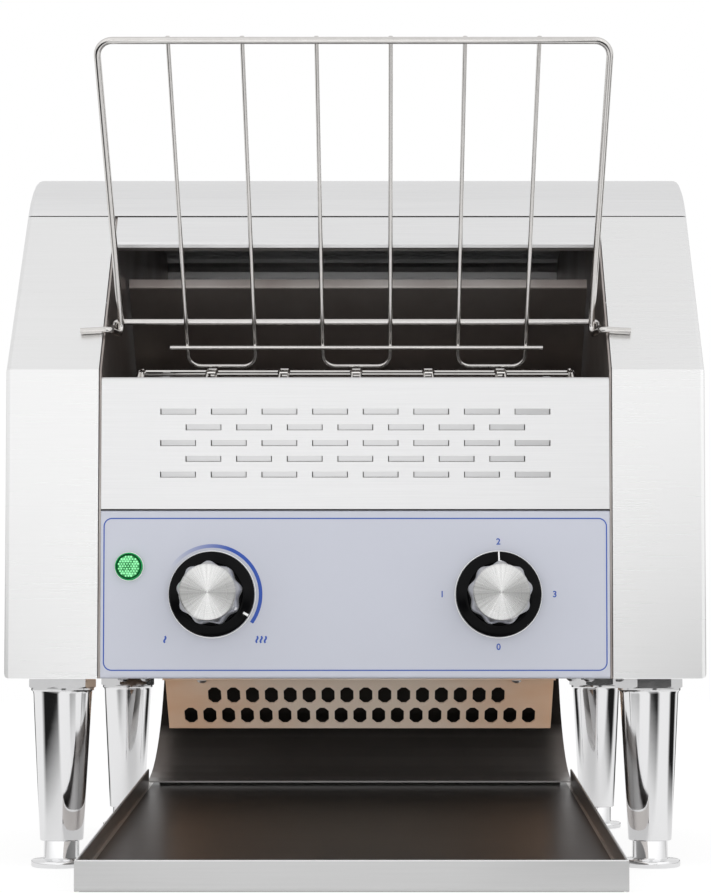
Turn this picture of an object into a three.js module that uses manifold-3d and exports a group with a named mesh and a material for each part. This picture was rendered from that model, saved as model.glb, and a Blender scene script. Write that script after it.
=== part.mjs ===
// Conveyor toaster: bread slides down a wire rack, rides a heated wire belt and drops onto a front tray.
// x runs across the machine, y from its front face to the back, z up from the table. Millimetres.
import * as THREE from 'three';
import { mergeVertices } from 'three/addons/utils/BufferGeometryUtils.js';
import Module from 'manifold-3d';

const wasm = await Module();
wasm.setup();

// Driving sizes of the cabinet
const bayWidth = 270;
const housingWidth = 49;
const exitFront = 169;
const exitLength = 96;
const rearBay = 49;
const legLength = 100;
const controlRise = 88.5;
const ventRise = 74;
const slopeRise = 95;
const hoodRise = 31.7;
const hoodRadius = 60;
const rearBend = 14;
const edgeBend = 2.5;
const slopeAngle = THREE.MathUtils.degToRad(58.2);

// Driving sizes of the bread path, from the foot bar of the rack to the tray
const rackAngle = THREE.MathUtils.degToRad(51.9);
const ventFlange = 11;
const mouthSetback = 20;
const footBarDepth = ventFlange + mouthSetback;
const mouthRise = 29.1;
const trayReach = 104;
const trayInset = 5;

// Sheet metal, gaps and the number of faces on round forms
const sheet = 1;
const clearance = 0.3;
const seamGap = 0.6;
const overrun = 5;
const bendSteps = 3;
const roundSides = 24;
const smallSides = 12;
const wireSides = 8;
const thinSides = 6;
const weldDistance = 1e-4;

// Places that several pieces share
const exitRear = exitFront + exitLength;
const bodyDepth = exitRear + rearBay;
const splitHeight = legLength + controlRise;
const bendHeight = splitHeight + ventRise;
const seamHeight = bendHeight + slopeRise;
const bodyHeight = seamHeight + hoodRise;
const footBarHeight = bendHeight + mouthRise;
const housingInner = bayWidth / 2;
const halfBody = housingInner + housingWidth;
const trayWidth = bayWidth - 2 * trayInset;
const plateOuter = housingInner - clearance;
const plateInner = plateOuter - sheet;
const bayHalf = plateInner - clearance;
const quarterTurn = Math.PI / 2;

// Finishes
function finish(color, roughness, metalness) {
  return new THREE.MeshStandardMaterial({ color, roughness, metalness });
}
const brushedSteel = finish(0xe4e4e6, 0.38, 0.85);
const ovenSteel = finish(0x6e6660, 0.5, 0.9);
const tintedSteel = finish(0xb9916f, 0.42, 0.7);
const chromeWire = finish(0xd8d8dc, 0.15, 1);
const panelFilm = finish(0xc8cddc, 0.45, 0.2);
const blackPlastic = finish(0x16161a, 0.25, 0);
const spunAluminium = finish(0xdcdcdc, 0.3, 0.9);
const greenLens = finish(0x2fc25a, 0.2, 0);
const castFrame = finish(0x2b2b2e, 0.6, 0);
const ceramicWhite = finish(0xe9e3d4, 0.7, 0);

const machine = new THREE.Group();
machine.position.y = (trayReach - bodyDepth) / 2;

// Closed solid of a geometry, with shared vertices merged
function solidOf(geometry) {
  const bare = geometry.index ? geometry.toNonIndexed() : geometry.clone();
  bare.deleteAttribute('normal');
  bare.deleteAttribute('uv');
  const merged = mergeVertices(bare, weldDistance);
  const corners = merged.index.array;
  const faces = [];
  for (let i = 0; i < corners.length; i += 3) {
    const [a, b, c] = corners.subarray(i, i + 3);
    if (a !== b && b !== c && c !== a) faces.push(a, b, c);
  }
  const vertProperties = merged.attributes.position.array;
  return new wasm.Manifold(new wasm.Mesh({ numProp: 3, vertProperties, triVerts: new Uint32Array(faces) }));
}

const asSolid = (shape) => (shape.isBufferGeometry ? solidOf(shape) : shape);
const join = (...shapes) => shapes.map(asSolid).reduce((whole, next) => whole.add(next));
const cut = (base, ...tools) => tools.map(asSolid).reduce((rest, tool) => rest.subtract(tool), asSolid(base));

// Named mesh of a geometry or solid, hung in a group
function piece(name, shape, material, parent = machine) {
  const mesh = asSolid(shape).getMesh();
  const geometry = new THREE.BufferGeometry();
  geometry.setAttribute('position', new THREE.BufferAttribute(mesh.vertProperties, 3));
  geometry.setIndex(new THREE.BufferAttribute(mesh.triVerts, 1));
  const node = new THREE.Mesh(geometry, material);
  node.name = name;
  parent.add(node);
  return node;
}

// Extrusion of a shape by a depth, its end edges rounded where a bevel is given
function extruded(shape, depth, bevel = 0, curveSegments = bendSteps) {
  if (bevel <= 0) return new THREE.ExtrudeGeometry(shape, { depth, bevelEnabled: false, curveSegments });
  const rounding = { bevelThickness: bevel, bevelSize: bevel, bevelOffset: -bevel, bevelSegments: 2 };
  const geometry = new THREE.ExtrudeGeometry(shape, { depth: depth - 2 * bevel, curveSegments, ...rounding });
  return geometry.translate(0, 0, bevel);
}

// Outline in depth and height, extruded across the machine
const acrossBasis = new THREE.Matrix4().makeBasis(
  new THREE.Vector3(0, 1, 0),
  new THREE.Vector3(0, 0, 1),
  new THREE.Vector3(1, 0, 0),
);
function alongX(shape, [from, to], bevel, curveSegments) {
  return extruded(shape, to - from, bevel, curveSegments).applyMatrix4(acrossBasis).translate(from, 0, 0);
}

function alongZ(shape, [from, to], bevel) {
  return extruded(shape, to - from, bevel).translate(0, 0, from);
}

function block([x0, x1], [y0, y1], [z0, z1]) {
  const box = new THREE.BoxGeometry(x1 - x0, y1 - y0, z1 - z0);
  return box.translate((x0 + x1) / 2, (y0 + y1) / 2, (z0 + z1) / 2);
}

// Profile of radius and height turned about the z axis
function turned(profile, sides = roundSides) {
  const points = profile.map(([radius, height]) => new THREE.Vector2(radius, height));
  return new THREE.LatheGeometry(points, sides).rotateX(quarterTurn);
}

function rod(radius, [from, to], sides = smallSides) {
  return turned([[0, from], [radius, from], [radius, to], [0, to]], sides);
}

const rodX = (radius, span, y, z, sides) => rod(radius, span, sides).rotateY(quarterTurn).translate(0, y, z);

// Turned forms whose own z axis points out of the front face
const towardsFront = (geometry) => geometry.rotateX(quarterTurn);

// Span on the right side, or its mirror image on the left
const spanOn = (side, near, far) => (side > 0 ? [near, far] : [-far, -near]);

// Route through corner points with each inner corner rounded
function rounded(corners, radius, steps = bendSteps) {
  const route = [corners[0]];
  for (let i = 1; i < corners.length - 1; i += 1) {
    const back = corners[i - 1].clone().sub(corners[i]).normalize();
    const ahead = corners[i + 1].clone().sub(corners[i]).normalize();
    const opening = Math.acos(THREE.MathUtils.clamp(back.dot(ahead), -1, 1));
    const start = corners[i].clone().addScaledVector(back, radius / Math.tan(opening / 2));
    const middle = back.clone().add(ahead).normalize();
    const heart = corners[i].clone().addScaledVector(middle, radius / Math.sin(opening / 2));
    const spoke = start.clone().sub(heart);
    for (let step = 0; step <= steps; step += 1) {
      const turn = ((Math.PI - opening) * step) / steps;
      const point = heart.clone().addScaledVector(spoke, Math.cos(turn));
      route.push(point.addScaledVector(back, -radius * Math.sin(turn)));
    }
  }
  route.push(corners.at(-1));
  return route;
}

// Outline of a bent strip of sheet along its centre line
function stripShape(route, thickness = sheet) {
  const sides = [1, -1].map((side) =>
    route.map((knot, i) => {
      const arriving = knot.clone().sub(route[Math.max(i - 1, 0)]).normalize();
      const leaving = route[Math.min(i + 1, route.length - 1)].clone().sub(knot).normalize();
      const heading = arriving.clone().add(leaving).normalize();
      const along = leaving.lengthSq() > 0 ? leaving : arriving;
      const reach = (side * thickness) / 2 / heading.dot(along);
      return knot.clone().add(new THREE.Vector2(-heading.y, heading.x).multiplyScalar(reach));
    }),
  );
  return new THREE.Shape([...sides[0], ...sides[1].reverse()]);
}

const bentSheet = (corners, radius, span) => alongX(stripShape(rounded(corners, radius)), span);

// Curve through knots that steps from knot to knot
class WireRoute extends THREE.Curve {
  constructor(knots) {
    super();
    this.knots = knots;
  }

  getPoint(share, target = new THREE.Vector3()) {
    const place = share * (this.knots.length - 1);
    const index = Math.min(Math.floor(place), this.knots.length - 2);
    return target.lerpVectors(this.knots[index], this.knots[index + 1], place - index);
  }

  getPointAt(share, target) {
    return this.getPoint(share, target);
  }

  getTangentAt(share, target = new THREE.Vector3()) {
    const index = Math.round(share * (this.knots.length - 1));
    const knot = this.knots[index];
    const arriving = knot.clone().sub(this.knots[Math.max(index - 1, 0)]).normalize();
    const leaving = this.knots[Math.min(index + 1, this.knots.length - 1)].clone().sub(knot).normalize();
    return target.copy(arriving.add(leaving).normalize());
  }
}

// Regular polygon about the origin
function ring(radius, sides, turn = 0) {
  const angles = Array.from({ length: sides }, (_, i) => turn + (i / sides) * 2 * Math.PI);
  return new THREE.Shape(angles.map((a) => new THREE.Vector2(radius * Math.cos(a), radius * Math.sin(a))));
}

// Rectangle about the origin with its corners rounded in a number of steps
function softSquare(width, height, corner, steps = 2) {
  const [across, up] = [width / 2 - corner, height / 2 - corner];
  const points = [[1, 1], [-1, 1], [-1, -1], [1, -1]].flatMap(([x, y], i) =>
    Array.from({ length: steps + 1 }, (_, step) => {
      const angle = (i + step / steps) * quarterTurn;
      return new THREE.Vector2(x * across + corner * Math.cos(angle), y * up + corner * Math.sin(angle));
    }),
  );
  return new THREE.Shape(points);
}

function wire(knots, radius, sides = wireSides) {
  const options = { steps: knots.length - 1, extrudePath: new WireRoute(knots), bevelEnabled: false };
  return new THREE.ExtrudeGeometry(ring(radius, sides), options);
}

// Loop of a belt or chain round two wheels, drawn at an offset from their pitch radius
function loopShape(near, far, offset = 0) {
  const [nearRadius, farRadius] = [near.radius + offset, far.radius + offset];
  const heading = Math.atan2(far.z - near.z, far.y - near.y);
  const spread = Math.acos((nearRadius - farRadius) / Math.hypot(far.y - near.y, far.z - near.z));
  const loop = new THREE.Shape();
  loop.absarc(near.y, near.z, nearRadius, heading + spread, heading - spread + 2 * Math.PI, false);
  loop.absarc(far.y, far.z, farRadius, heading - spread, heading + spread, false);
  loop.closePath();
  return loop;
}

// Even places of a row of copies about its middle
const rowOf = (count, pitch, middle = 0) =>
  Array.from({ length: count }, (_, i) => middle + (i - (count - 1) / 2) * pitch);

// Side outline of the cabinet: upright front, slope, round hood and upright back
const hoodTangentHeight = bodyHeight - hoodRadius * (1 - Math.cos(slopeAngle));
const hoodTangentDepth = (hoodTangentHeight - bendHeight) / Math.tan(slopeAngle);
const hoodHeart = { y: hoodTangentDepth + hoodRadius * Math.sin(slopeAngle), z: bodyHeight - hoodRadius };
function bodyOutline(inset, bottom) {
  const outline = new THREE.Shape();
  outline.moveTo(inset, bottom);
  outline.lineTo(inset, bendHeight - inset * Math.tan((quarterTurn - slopeAngle) / 2));
  outline.absarc(hoodHeart.y, hoodHeart.z, hoodRadius - inset, quarterTurn + slopeAngle, quarterTurn, true);
  const rearHeart = { y: bodyDepth - rearBend, z: bodyHeight - rearBend };
  outline.absarc(rearHeart.y, rearHeart.z, rearBend - inset, quarterTurn, 0, true);
  outline.lineTo(bodyDepth - inset, bottom);
  outline.closePath();
  return outline;
}

// Point at a height on the slope, moved off its outer face by an offset
function slopePoint(height, offset) {
  const depth = (height - bendHeight) / Math.tan(slopeAngle);
  return new THREE.Vector2(
    depth - offset * Math.sin(slopeAngle),
    height + offset * Math.cos(slopeAngle),
  );
}

// Everything above or below a height, for cutting
const wholeWidth = [-halfBody - overrun, halfBody + overrun];
const wholeDepth = [-overrun, bodyDepth + overrun];
const above = (height) => block(wholeWidth, wholeDepth, [height, bodyHeight + overrun]);
const below = (height) => block(wholeWidth, wholeDepth, [legLength - 2 * overrun, height]);

// Bread path frame: x across, y down the path, z off it on the bread's side
const path = new THREE.Group();
path.position.set(0, footBarDepth, footBarHeight);
path.rotation.x = -rackAngle;
machine.add(path);
function pathPoint(run, lift) {
  const y = footBarDepth + run * Math.cos(rackAngle) + lift * Math.sin(rackAngle);
  const z = footBarHeight - run * Math.sin(rackAngle) + lift * Math.cos(rackAngle);
  return { y, z };
}

// Conveyor sizes, in the path frame
const topShaftRun = 36;
const shaftDrop = 23;
const shaftRadius = 5;
const beltRadius = 17.75;
const beltRod = 1.2;
const beltGap = 4.22;
const driveHeight = legLength + beltGap + beltRod + beltRadius;
const driveFall = footBarHeight - shaftDrop * Math.cos(rackAngle) - driveHeight;
const bottomShaftRun = driveFall / Math.sin(rackAngle);
const beltInset = 14.4;
const beltHalf = bayHalf - beltInset;
const beltEdge = 3;
const beltPitch = 18;
const loopSides = 6;
const bushRadius = 8;
const shafts = [topShaftRun, bottomShaftRun].map((run) => pathPoint(run, -shaftDrop));

// Plane of the upper reflector, off the path, and the point where it meets the rear of the exit
const reflectorKneeRise = 14.4;
const reflectorKnee = { y: exitRear - sheet, z: legLength + reflectorKneeRise };
const kneeBack = reflectorKnee.y - footBarDepth;
const kneeFall = footBarHeight - reflectorKnee.z;
const reflectorLift = kneeBack * Math.sin(rackAngle) - kneeFall * Math.cos(rackAngle);

// Heater sizes, in the path frame
const heaterRadius = 4;
const heaterEndRadius = 5;
const upperHeaterCount = 4;
const upperHeaterPitch = 36;
const upperHeaterMiddle = 126;
const upperHeaterGap = 27;
const upperHeaterLift = reflectorLift - upperHeaterGap;
const lowerHeaterCount = 3;
const lowerHeaterPitchShare = 0.2375;
const lowerHeaterPitch = lowerHeaterPitchShare * (bottomShaftRun - topShaftRun);
const lowerHeaterMiddle = (topShaftRun + bottomShaftRun) / 2;
const upperHeaterRuns = rowOf(upperHeaterCount, upperHeaterPitch, upperHeaterMiddle);
const lowerHeaterRuns = rowOf(lowerHeaterCount, lowerHeaterPitch, lowerHeaterMiddle);
const heaterPlaces = [
  ...upperHeaterRuns.map((run) => pathPoint(run, upperHeaterLift)),
  ...lowerHeaterRuns.map((run) => pathPoint(run, -shaftDrop)),
];

// Side covers: folded housings, open inwards, at the bottom and under the hood
const cavityBend = Math.max(edgeBend - sheet, 0);
const seamCut = seamGap / 2;
for (const [name, side] of [['left', -1], ['right', 1]]) {
  const blank = alongX(bodyOutline(0, legLength), spanOn(side, housingInner - overrun, halfBody), edgeBend);
  const cavityOutline = bodyOutline(sheet, legLength - overrun);
  const cavitySpan = spanOn(side, housingInner - 2 * overrun, halfBody - sheet);
  const cavity = alongX(cavityOutline, cavitySpan, cavityBend);
  const bay = block(spanOn(side, 0, housingInner), wholeDepth, [legLength - overrun, bodyHeight + overrun]);
  piece(`${name}_side_cover`, cut(blank, cavity, bay, above(seamHeight - seamCut)), brushedSteel);
}

// Top hood: one curved cover with cheeks that meet the side covers at the seam
{
  const blank = alongX(bodyOutline(0, legLength), [-halfBody, halfBody], edgeBend);
  const cavityOutline = bodyOutline(sheet, legLength - 2 * overrun);
  const cavity = alongX(cavityOutline, [sheet - halfBody, halfBody - sheet], cavityBend);
  piece('top_hood', cut(blank, cavity, below(seamHeight + seamCut)), brushedSteel);
}

// Chassis plates: inner walls of the housings, with a foot flange for the legs
const frameInset = sheet + clearance;
const wiringHoleRadius = 9;
const wiringHoleRise = 36;
const wiringHoleDepth = 46;
for (const [name, side] of [['left', -1], ['right', 1]]) {
  const through = spanOn(side, plateInner - overrun, plateOuter + overrun);
  const wall = alongX(bodyOutline(frameInset, legLength), spanOn(side, plateInner, plateOuter));
  const foot = block(
    spanOn(side, plateInner, halfBody - sheet - cavityBend - clearance),
    [frameInset, bodyDepth - frameInset],
    [legLength, legLength + sheet],
  );
  const bushHoles = shafts.map(({ y, z }) => rodX(bushRadius + clearance, through, y, z));
  const holeRadius = heaterEndRadius + clearance;
  const heaterHoles = heaterPlaces.map(({ y, z }) => rodX(holeRadius, through, y, z, wireSides));
  const wiringHole = rodX(wiringHoleRadius, through, wiringHoleDepth, legLength + wiringHoleRise);
  const plate = cut(join(wall, foot), ...bushHoles, ...heaterHoles, wiringHole);
  piece(`${name}_chassis_plate`, plate, ovenSteel);
}

// Throat strip: front edge of the roof over the mouth, with a stiffening fold
const throatDrop = 19.5;
const throatFold = 9;
const throatLip = 7;
const panelBend = 2;
{
  const lowEdge = slopePoint(seamHeight - throatDrop, -sheet / 2);
  const back = lowEdge.clone().add(new THREE.Vector2(throatFold, 0));
  const lip = back.clone().add(new THREE.Vector2(0, throatLip));
  const corners = [slopePoint(seamHeight - seamGap, -sheet / 2), lowEdge, back, lip];
  piece('throat_strip', bentSheet(corners, panelBend, [-bayHalf, bayHalf]), brushedSteel);
}

// Louvred slots: each is cut on three sides and its tab bent in from the top edge
const slotWidth = 18.8;
const slotHeight = 3.1;
const slotPitchShare = 0.1994;
const slotPitch = slotPitchShare * bayHalf;
const louvreDepth = 1.1;
const louvreThickness = 0.6;
const louvreGap = 0.5;
function louvred(panel, places) {
  const slots = places.map(({ x, z }) => {
    const tall = [z - slotHeight / 2, z + slotHeight / 2];
    return block([x - slotWidth / 2, x + slotWidth / 2], [-overrun, sheet + overrun], tall);
  });
  const tabs = places.map(({ x, z }) => {
    const root = new THREE.Vector2(sheet / 2, z + slotHeight / 2 + louvreThickness / 2);
    const tip = new THREE.Vector2(sheet / 2 + louvreDepth, z - slotHeight / 2 + louvreGap);
    const reach = slotWidth / 2 - louvreGap;
    return alongX(stripShape([root, tip], louvreThickness), [x - reach, x + reach]);
  });
  return join(cut(panel, ...slots), ...tabs);
}

// Vent panel: upper front panel with five staggered rows of louvres and a rounded top edge
const ventEdge = 3.8;
const ventTop = bendHeight - ventEdge;
const panelGap = 0.7;
const ventRows = 5;
const ventRowPitch = 8.3;
const ventMiddle = (splitHeight + ventTop) / 2;
const ventLongRow = 8;
{
  const front = sheet / 2;
  const corners = [
    new THREE.Vector2(ventFlange, ventTop - sheet / 2),
    new THREE.Vector2(front, ventTop - sheet / 2),
    new THREE.Vector2(front, splitHeight + panelGap / 2),
  ];
  const places = rowOf(ventRows, ventRowPitch, ventMiddle).flatMap((z, row) =>
    rowOf(ventLongRow - (row % 2), slotPitch).map((x) => ({ x, z })),
  );
  piece('vent_panel', louvred(bentSheet(corners, panelBend, [-bayHalf, bayHalf]), places), brushedSteel);
}

// Control panel: lower front panel, flanged at top and bottom, with holes for the two knobs and the lamp
const controlFlange = 12;
const knobSpreadShare = 0.5622;
const knobSpread = knobSpreadShare * bayHalf;
const knobDrop = 0.25;
const knobHeight = legLength + controlRise / 2 - knobDrop;
const lampInset = 14.9;
const lampOffset = bayHalf - lampInset;
const lampRise = 14.6;
const lampHeight = knobHeight + lampRise;
const bushStemRadius = 5;
const lampBodyRadius = 5.6;
{
  const front = sheet / 2;
  const top = splitHeight - panelGap / 2 - sheet / 2;
  const corners = [
    new THREE.Vector2(controlFlange, top),
    new THREE.Vector2(front, top),
    new THREE.Vector2(front, legLength + sheet / 2),
    new THREE.Vector2(controlFlange, legLength + sheet / 2),
  ];
  const hole = (radius, x, z) => towardsFront(rod(radius, [-overrun, overrun])).translate(x, 0, z);
  const panel = cut(
    bentSheet(corners, sheet, [-bayHalf, bayHalf]),
    hole(bushStemRadius + clearance, -knobSpread, knobHeight),
    hole(bushStemRadius + clearance, knobSpread, knobHeight),
    hole(lampBodyRadius + clearance, -lampOffset, lampHeight),
  );
  piece('control_panel', panel, panelFilm);
}

// Rear panel: recessed between the chassis plates, built facing forwards and turned round
const rearRecess = 8;
const rearVentRows = 2;
const rearVentRow = 6;
const rearVentDrop = 35.5;
const rearVentMiddle = seamHeight - rearVentDrop;
const fanSize = 80;
const fanWall = 2.5;
const fanBore = fanSize / 2 - fanWall;
const fanInset = 75.4;
const fanOffset = fanInset - bayHalf;
const fanRise = 86;
const fanHeight = legLength + fanRise;
const grilleSlots = 7;
const grillePitch = 9.4;
const grilleSlotHeight = 4.6;
const cordHoleRadius = 8;
const cordHoleInset = 37.4;
const cordHoleOffset = bayHalf - cordHoleInset;
const cordHoleRise = 26;
const cordHoleHeight = legLength + cordHoleRise;
{
  const outer = sheet / 2;
  const top = seamHeight - seamCut - sheet / 2;
  const corners = [
    new THREE.Vector2(frameInset - rearRecess, top),
    new THREE.Vector2(outer, top),
    new THREE.Vector2(outer, legLength),
  ];
  const places = rowOf(rearVentRows, ventRowPitch, rearVentMiddle).flatMap((z) =>
    rowOf(rearVentRow, slotPitch).map((x) => ({ x, z })),
  );
  const grille = rowOf(grilleSlots, grillePitch, fanHeight).map((z) => {
    const reach = Math.sqrt(fanBore ** 2 - (Math.abs(z - fanHeight) + grilleSlotHeight / 2) ** 2) - sheet;
    const tall = [z - grilleSlotHeight / 2, z + grilleSlotHeight / 2];
    return block([-fanOffset - reach, -fanOffset + reach], [-overrun, sheet + overrun], tall);
  });
  const cordHole = towardsFront(rod(cordHoleRadius + clearance, [-overrun, overrun], roundSides));
  cordHole.translate(-cordHoleOffset, 0, cordHoleHeight);
  const blank = bentSheet(corners, panelBend, [-bayHalf, bayHalf]);
  const node = piece('rear_panel', cut(louvred(blank, places), ...grille, cordHole), brushedSteel);
  node.position.y = bodyDepth - rearRecess;
  node.rotation.z = Math.PI;
}
const rearInner = bodyDepth - rearRecess - sheet;

// Cord bush: flanged plastic ring in the rear panel
const cordBushFlange = 2.2;
const cordBushLip = 3;
const cordBushBore = 4.5;
const cordBushTail = 7;
{
  const flangeRadius = cordHoleRadius + cordBushLip;
  const profile = [
    [cordBushBore, -sheet - cordBushTail],
    [cordHoleRadius, -sheet - cordBushTail],
    [cordHoleRadius, clearance],
    [flangeRadius, clearance],
    [flangeRadius - cordBushFlange / 2, clearance + cordBushFlange],
    [cordBushBore, clearance + cordBushFlange],
    [cordBushBore, -sheet - cordBushTail],
  ];
  const node = piece('cord_bush', turned(profile, smallSides), blackPlastic);
  node.position.set(cordHoleOffset, bodyDepth - rearRecess, cordHoleHeight);
  node.rotation.x = -quarterTurn;
}

// Base plate: floor of the cabinet with folded sides and the opening that the toast falls through
const exitInset = 5.4;
const exitHalf = bayHalf - exitInset;
const baseFold = 10;
const baseSpan = [controlFlange + clearance, rearInner - clearance];
{
  const floor = block([-bayHalf, bayHalf], baseSpan, [legLength, legLength + sheet]);
  const folds = [-1, 1].map((side) =>
    block(spanOn(side, bayHalf - sheet, bayHalf), baseSpan, [legLength, legLength + baseFold]),
  );
  const exit = block(
    [-exitHalf, exitHalf],
    [exitFront, exitRear],
    [legLength - overrun, legLength + overrun],
  );
  piece('base_plate', cut(join(floor, ...folds), exit), ovenSteel);
}

// Heat shield: keeps the oven's heat off the controls and runs under the returning belt
const shieldGap = 5.05;
const shieldDrop = shaftDrop + beltRadius + beltRod + shieldGap;
const shieldSet = ventFlange + clearance + sheet / 2;
{
  const topHeight = ventTop - sheet - clearance;
  const kneeRun = (shieldSet - pathPoint(0, -shieldDrop).y) / Math.cos(rackAngle);
  const knee = pathPoint(kneeRun, -shieldDrop);
  const floorHeight = legLength + sheet + clearance + sheet / 2;
  const endRun = (pathPoint(0, -shieldDrop).z - floorHeight) / Math.sin(rackAngle);
  const end = pathPoint(endRun, -shieldDrop);
  const corners = [
    new THREE.Vector2(shieldSet, topHeight),
    new THREE.Vector2(knee.y, knee.z),
    new THREE.Vector2(end.y, end.z),
    new THREE.Vector2(end.y + baseFold, end.z),
  ];
  const width = [sheet + clearance - bayHalf, bayHalf - sheet - clearance];
  piece('heat_shield', bentSheet(corners, panelBend, width), ovenSteel);
}

// Upper reflector: roof of the oven behind the upper heaters, with an upright edge at the mouth
const reflectorTopRun = 15;
const reflectorEdge = 4.5;
const reflectorFoot = 12;
{
  const top = pathPoint(reflectorTopRun, reflectorLift);
  const seat = legLength + sheet + clearance + sheet / 2;
  const corners = [
    new THREE.Vector2(top.y, top.z + reflectorEdge),
    new THREE.Vector2(top.y, top.z),
    new THREE.Vector2(reflectorKnee.y, reflectorKnee.z),
    new THREE.Vector2(exitRear + sheet, seat),
    new THREE.Vector2(exitRear + reflectorFoot, seat),
  ];
  const width = [sheet + clearance - bayHalf, bayHalf - sheet - clearance];
  piece('upper_reflector', bentSheet(corners, panelBend, width), ovenSteel);
}

// Lower reflector: shallow tray under the lower heaters, inside the belt loop
const lowerReflectorGap = 8.5;
const lowerReflectorDrop = shaftDrop + lowerReflectorGap;
const lowerReflectorInset = 26;
const lowerReflectorStart = topShaftRun + lowerReflectorInset;
const lowerReflectorEnd = bottomShaftRun - lowerReflectorInset;
const lowerReflectorRise = 5;
{
  const corners = [
    new THREE.Vector2(lowerReflectorStart, lowerReflectorRise - lowerReflectorDrop),
    new THREE.Vector2(lowerReflectorStart + lowerReflectorRise, -lowerReflectorDrop),
    new THREE.Vector2(lowerReflectorEnd - lowerReflectorRise, -lowerReflectorDrop),
    new THREE.Vector2(lowerReflectorEnd, lowerReflectorRise - lowerReflectorDrop),
  ];
  piece('lower_reflector', bentSheet(corners, panelBend, [-bayHalf, bayHalf]), ovenSteel, path);
}

// Heaters: tubular elements across the oven, with insulated ends through the chassis plates
const heaterEndLength = 12;
function heater(name, run, lift) {
  const seat = plateInner - clearance;
  const end = plateOuter + heaterEndLength;
  const half = [
    [heaterRadius, seat - heaterEndLength],
    [heaterEndRadius, seat - heaterEndLength],
    [heaterEndRadius, end],
    [0, end],
  ];
  const profile = [...half.map(([radius, x]) => [radius, -x]).reverse(), ...half];
  const node = piece(name, turned(profile, wireSides), ceramicWhite, path);
  node.position.set(0, run, lift);
  node.rotation.y = quarterTurn;
}
upperHeaterRuns.forEach((run, i) => heater(`upper_heater_${i + 1}`, run, upperHeaterLift));
lowerHeaterRuns.forEach((run, i) => heater(`lower_heater_${i + 1}`, run, -shaftDrop));

// Toothed wheel outline
const toothTipShare = 0.22;
function toothed(tip, root, teeth) {
  const corners = Array.from({ length: teeth }, (_, i) =>
    [-1, -toothTipShare, toothTipShare, 1].map((place, j) => {
      const angle = ((i + place / 2) / teeth) * 2 * Math.PI;
      const radius = j === 1 || j === 2 ? tip : root;
      return new THREE.Vector2(radius * Math.cos(angle), radius * Math.sin(angle));
    }),
  );
  return new THREE.Shape(corners.flat().filter((_, i) => i % 4 !== 3));
}

// Conveyor shafts: steel shafts with toothed wheels that run inside the belt
const wheelInset = 16;
const wheelWidth = 4;
const wheelTeeth = 9;
const wheelDepth = 3;
const shaftEnd = 6;
const chainInset = 12;
const chainPlane = halfBody - chainInset;
const sprocketWidth = 3.6;
const wheelTip = (beltRadius - beltRod) * Math.cos(Math.PI / roundSides) - clearance;
function shaft(name, run, reach) {
  const outline = toothed(wheelTip, wheelTip - wheelDepth, wheelTeeth);
  const wheels = [-1, 1].map((side) => {
    const middle = side * (beltHalf - wheelInset);
    return alongZ(outline, [middle - wheelWidth / 2, middle + wheelWidth / 2]);
  });
  const bar = rod(shaftRadius, [-plateOuter - shaftEnd, reach], smallSides);
  const node = piece(name, join(bar, ...wheels), ovenSteel, path);
  node.position.set(0, run, -shaftDrop);
  node.rotation.y = quarterTurn;
}
shaft('idler_shaft', topShaftRun, plateOuter + shaftEnd);
shaft('drive_shaft', bottomShaftRun, chainPlane + shaftEnd);

// Shaft bushes: flanged, one at each end of each shaft
const bushFlangeRadius = 11;
const bushFlange = 2;
const bushTail = 3;
for (const [shaftName, run] of [['idler', topShaftRun], ['drive', bottomShaftRun]]) {
  for (const [sideName, side] of [['left', -1], ['right', 1]]) {
    const bore = shaftRadius + clearance;
    const seat = plateInner - clearance;
    const profile = [
      [bore, seat - bushFlange],
      [bushFlangeRadius, seat - bushFlange],
      [bushFlangeRadius, seat],
      [bushRadius, seat],
      [bushRadius, plateOuter + bushTail],
      [bore, plateOuter + bushTail],
      [bore, seat - bushFlange],
    ];
    const node = piece(`${shaftName}_bush_${sideName}`, turned(profile, smallSides), tintedSteel, path);
    node.position.set(0, run, -shaftDrop);
    node.rotation.y = side * quarterTurn;
  }
}

// Band that runs round two wheels
function loopBand(near, far, offset, span) {
  const outline = loopShape(near, far, offset);
  outline.holes.push(loopShape(near, far, -offset));
  return alongX(outline, span, 0, loopSides);
}

// Wire belt: cross rods, evenly spaced along the loop, between two edge bands
{
  const topWheel = { y: topShaftRun, z: -shaftDrop, radius: beltRadius };
  const bottomWheel = { y: bottomShaftRun, z: -shaftDrop, radius: beltRadius };
  const pitchLine = loopShape(topWheel, bottomWheel);
  const count = Math.round(pitchLine.getLength() / beltPitch);
  const rodSpan = [beltEdge / 2 - beltHalf, beltHalf - beltEdge / 2];
  const rods = pitchLine
    .getSpacedPoints(count)
    .slice(0, count)
    .map((point) => rodX(beltRod, rodSpan, point.x, point.y, thinSides));
  const bands = [-1, 1].map((side) =>
    loopBand(topWheel, bottomWheel, beltRod, spanOn(side, beltHalf - beltEdge, beltHalf)),
  );
  piece('conveyor_belt', join(...bands, ...rods), chromeWire, path);
}

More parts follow.
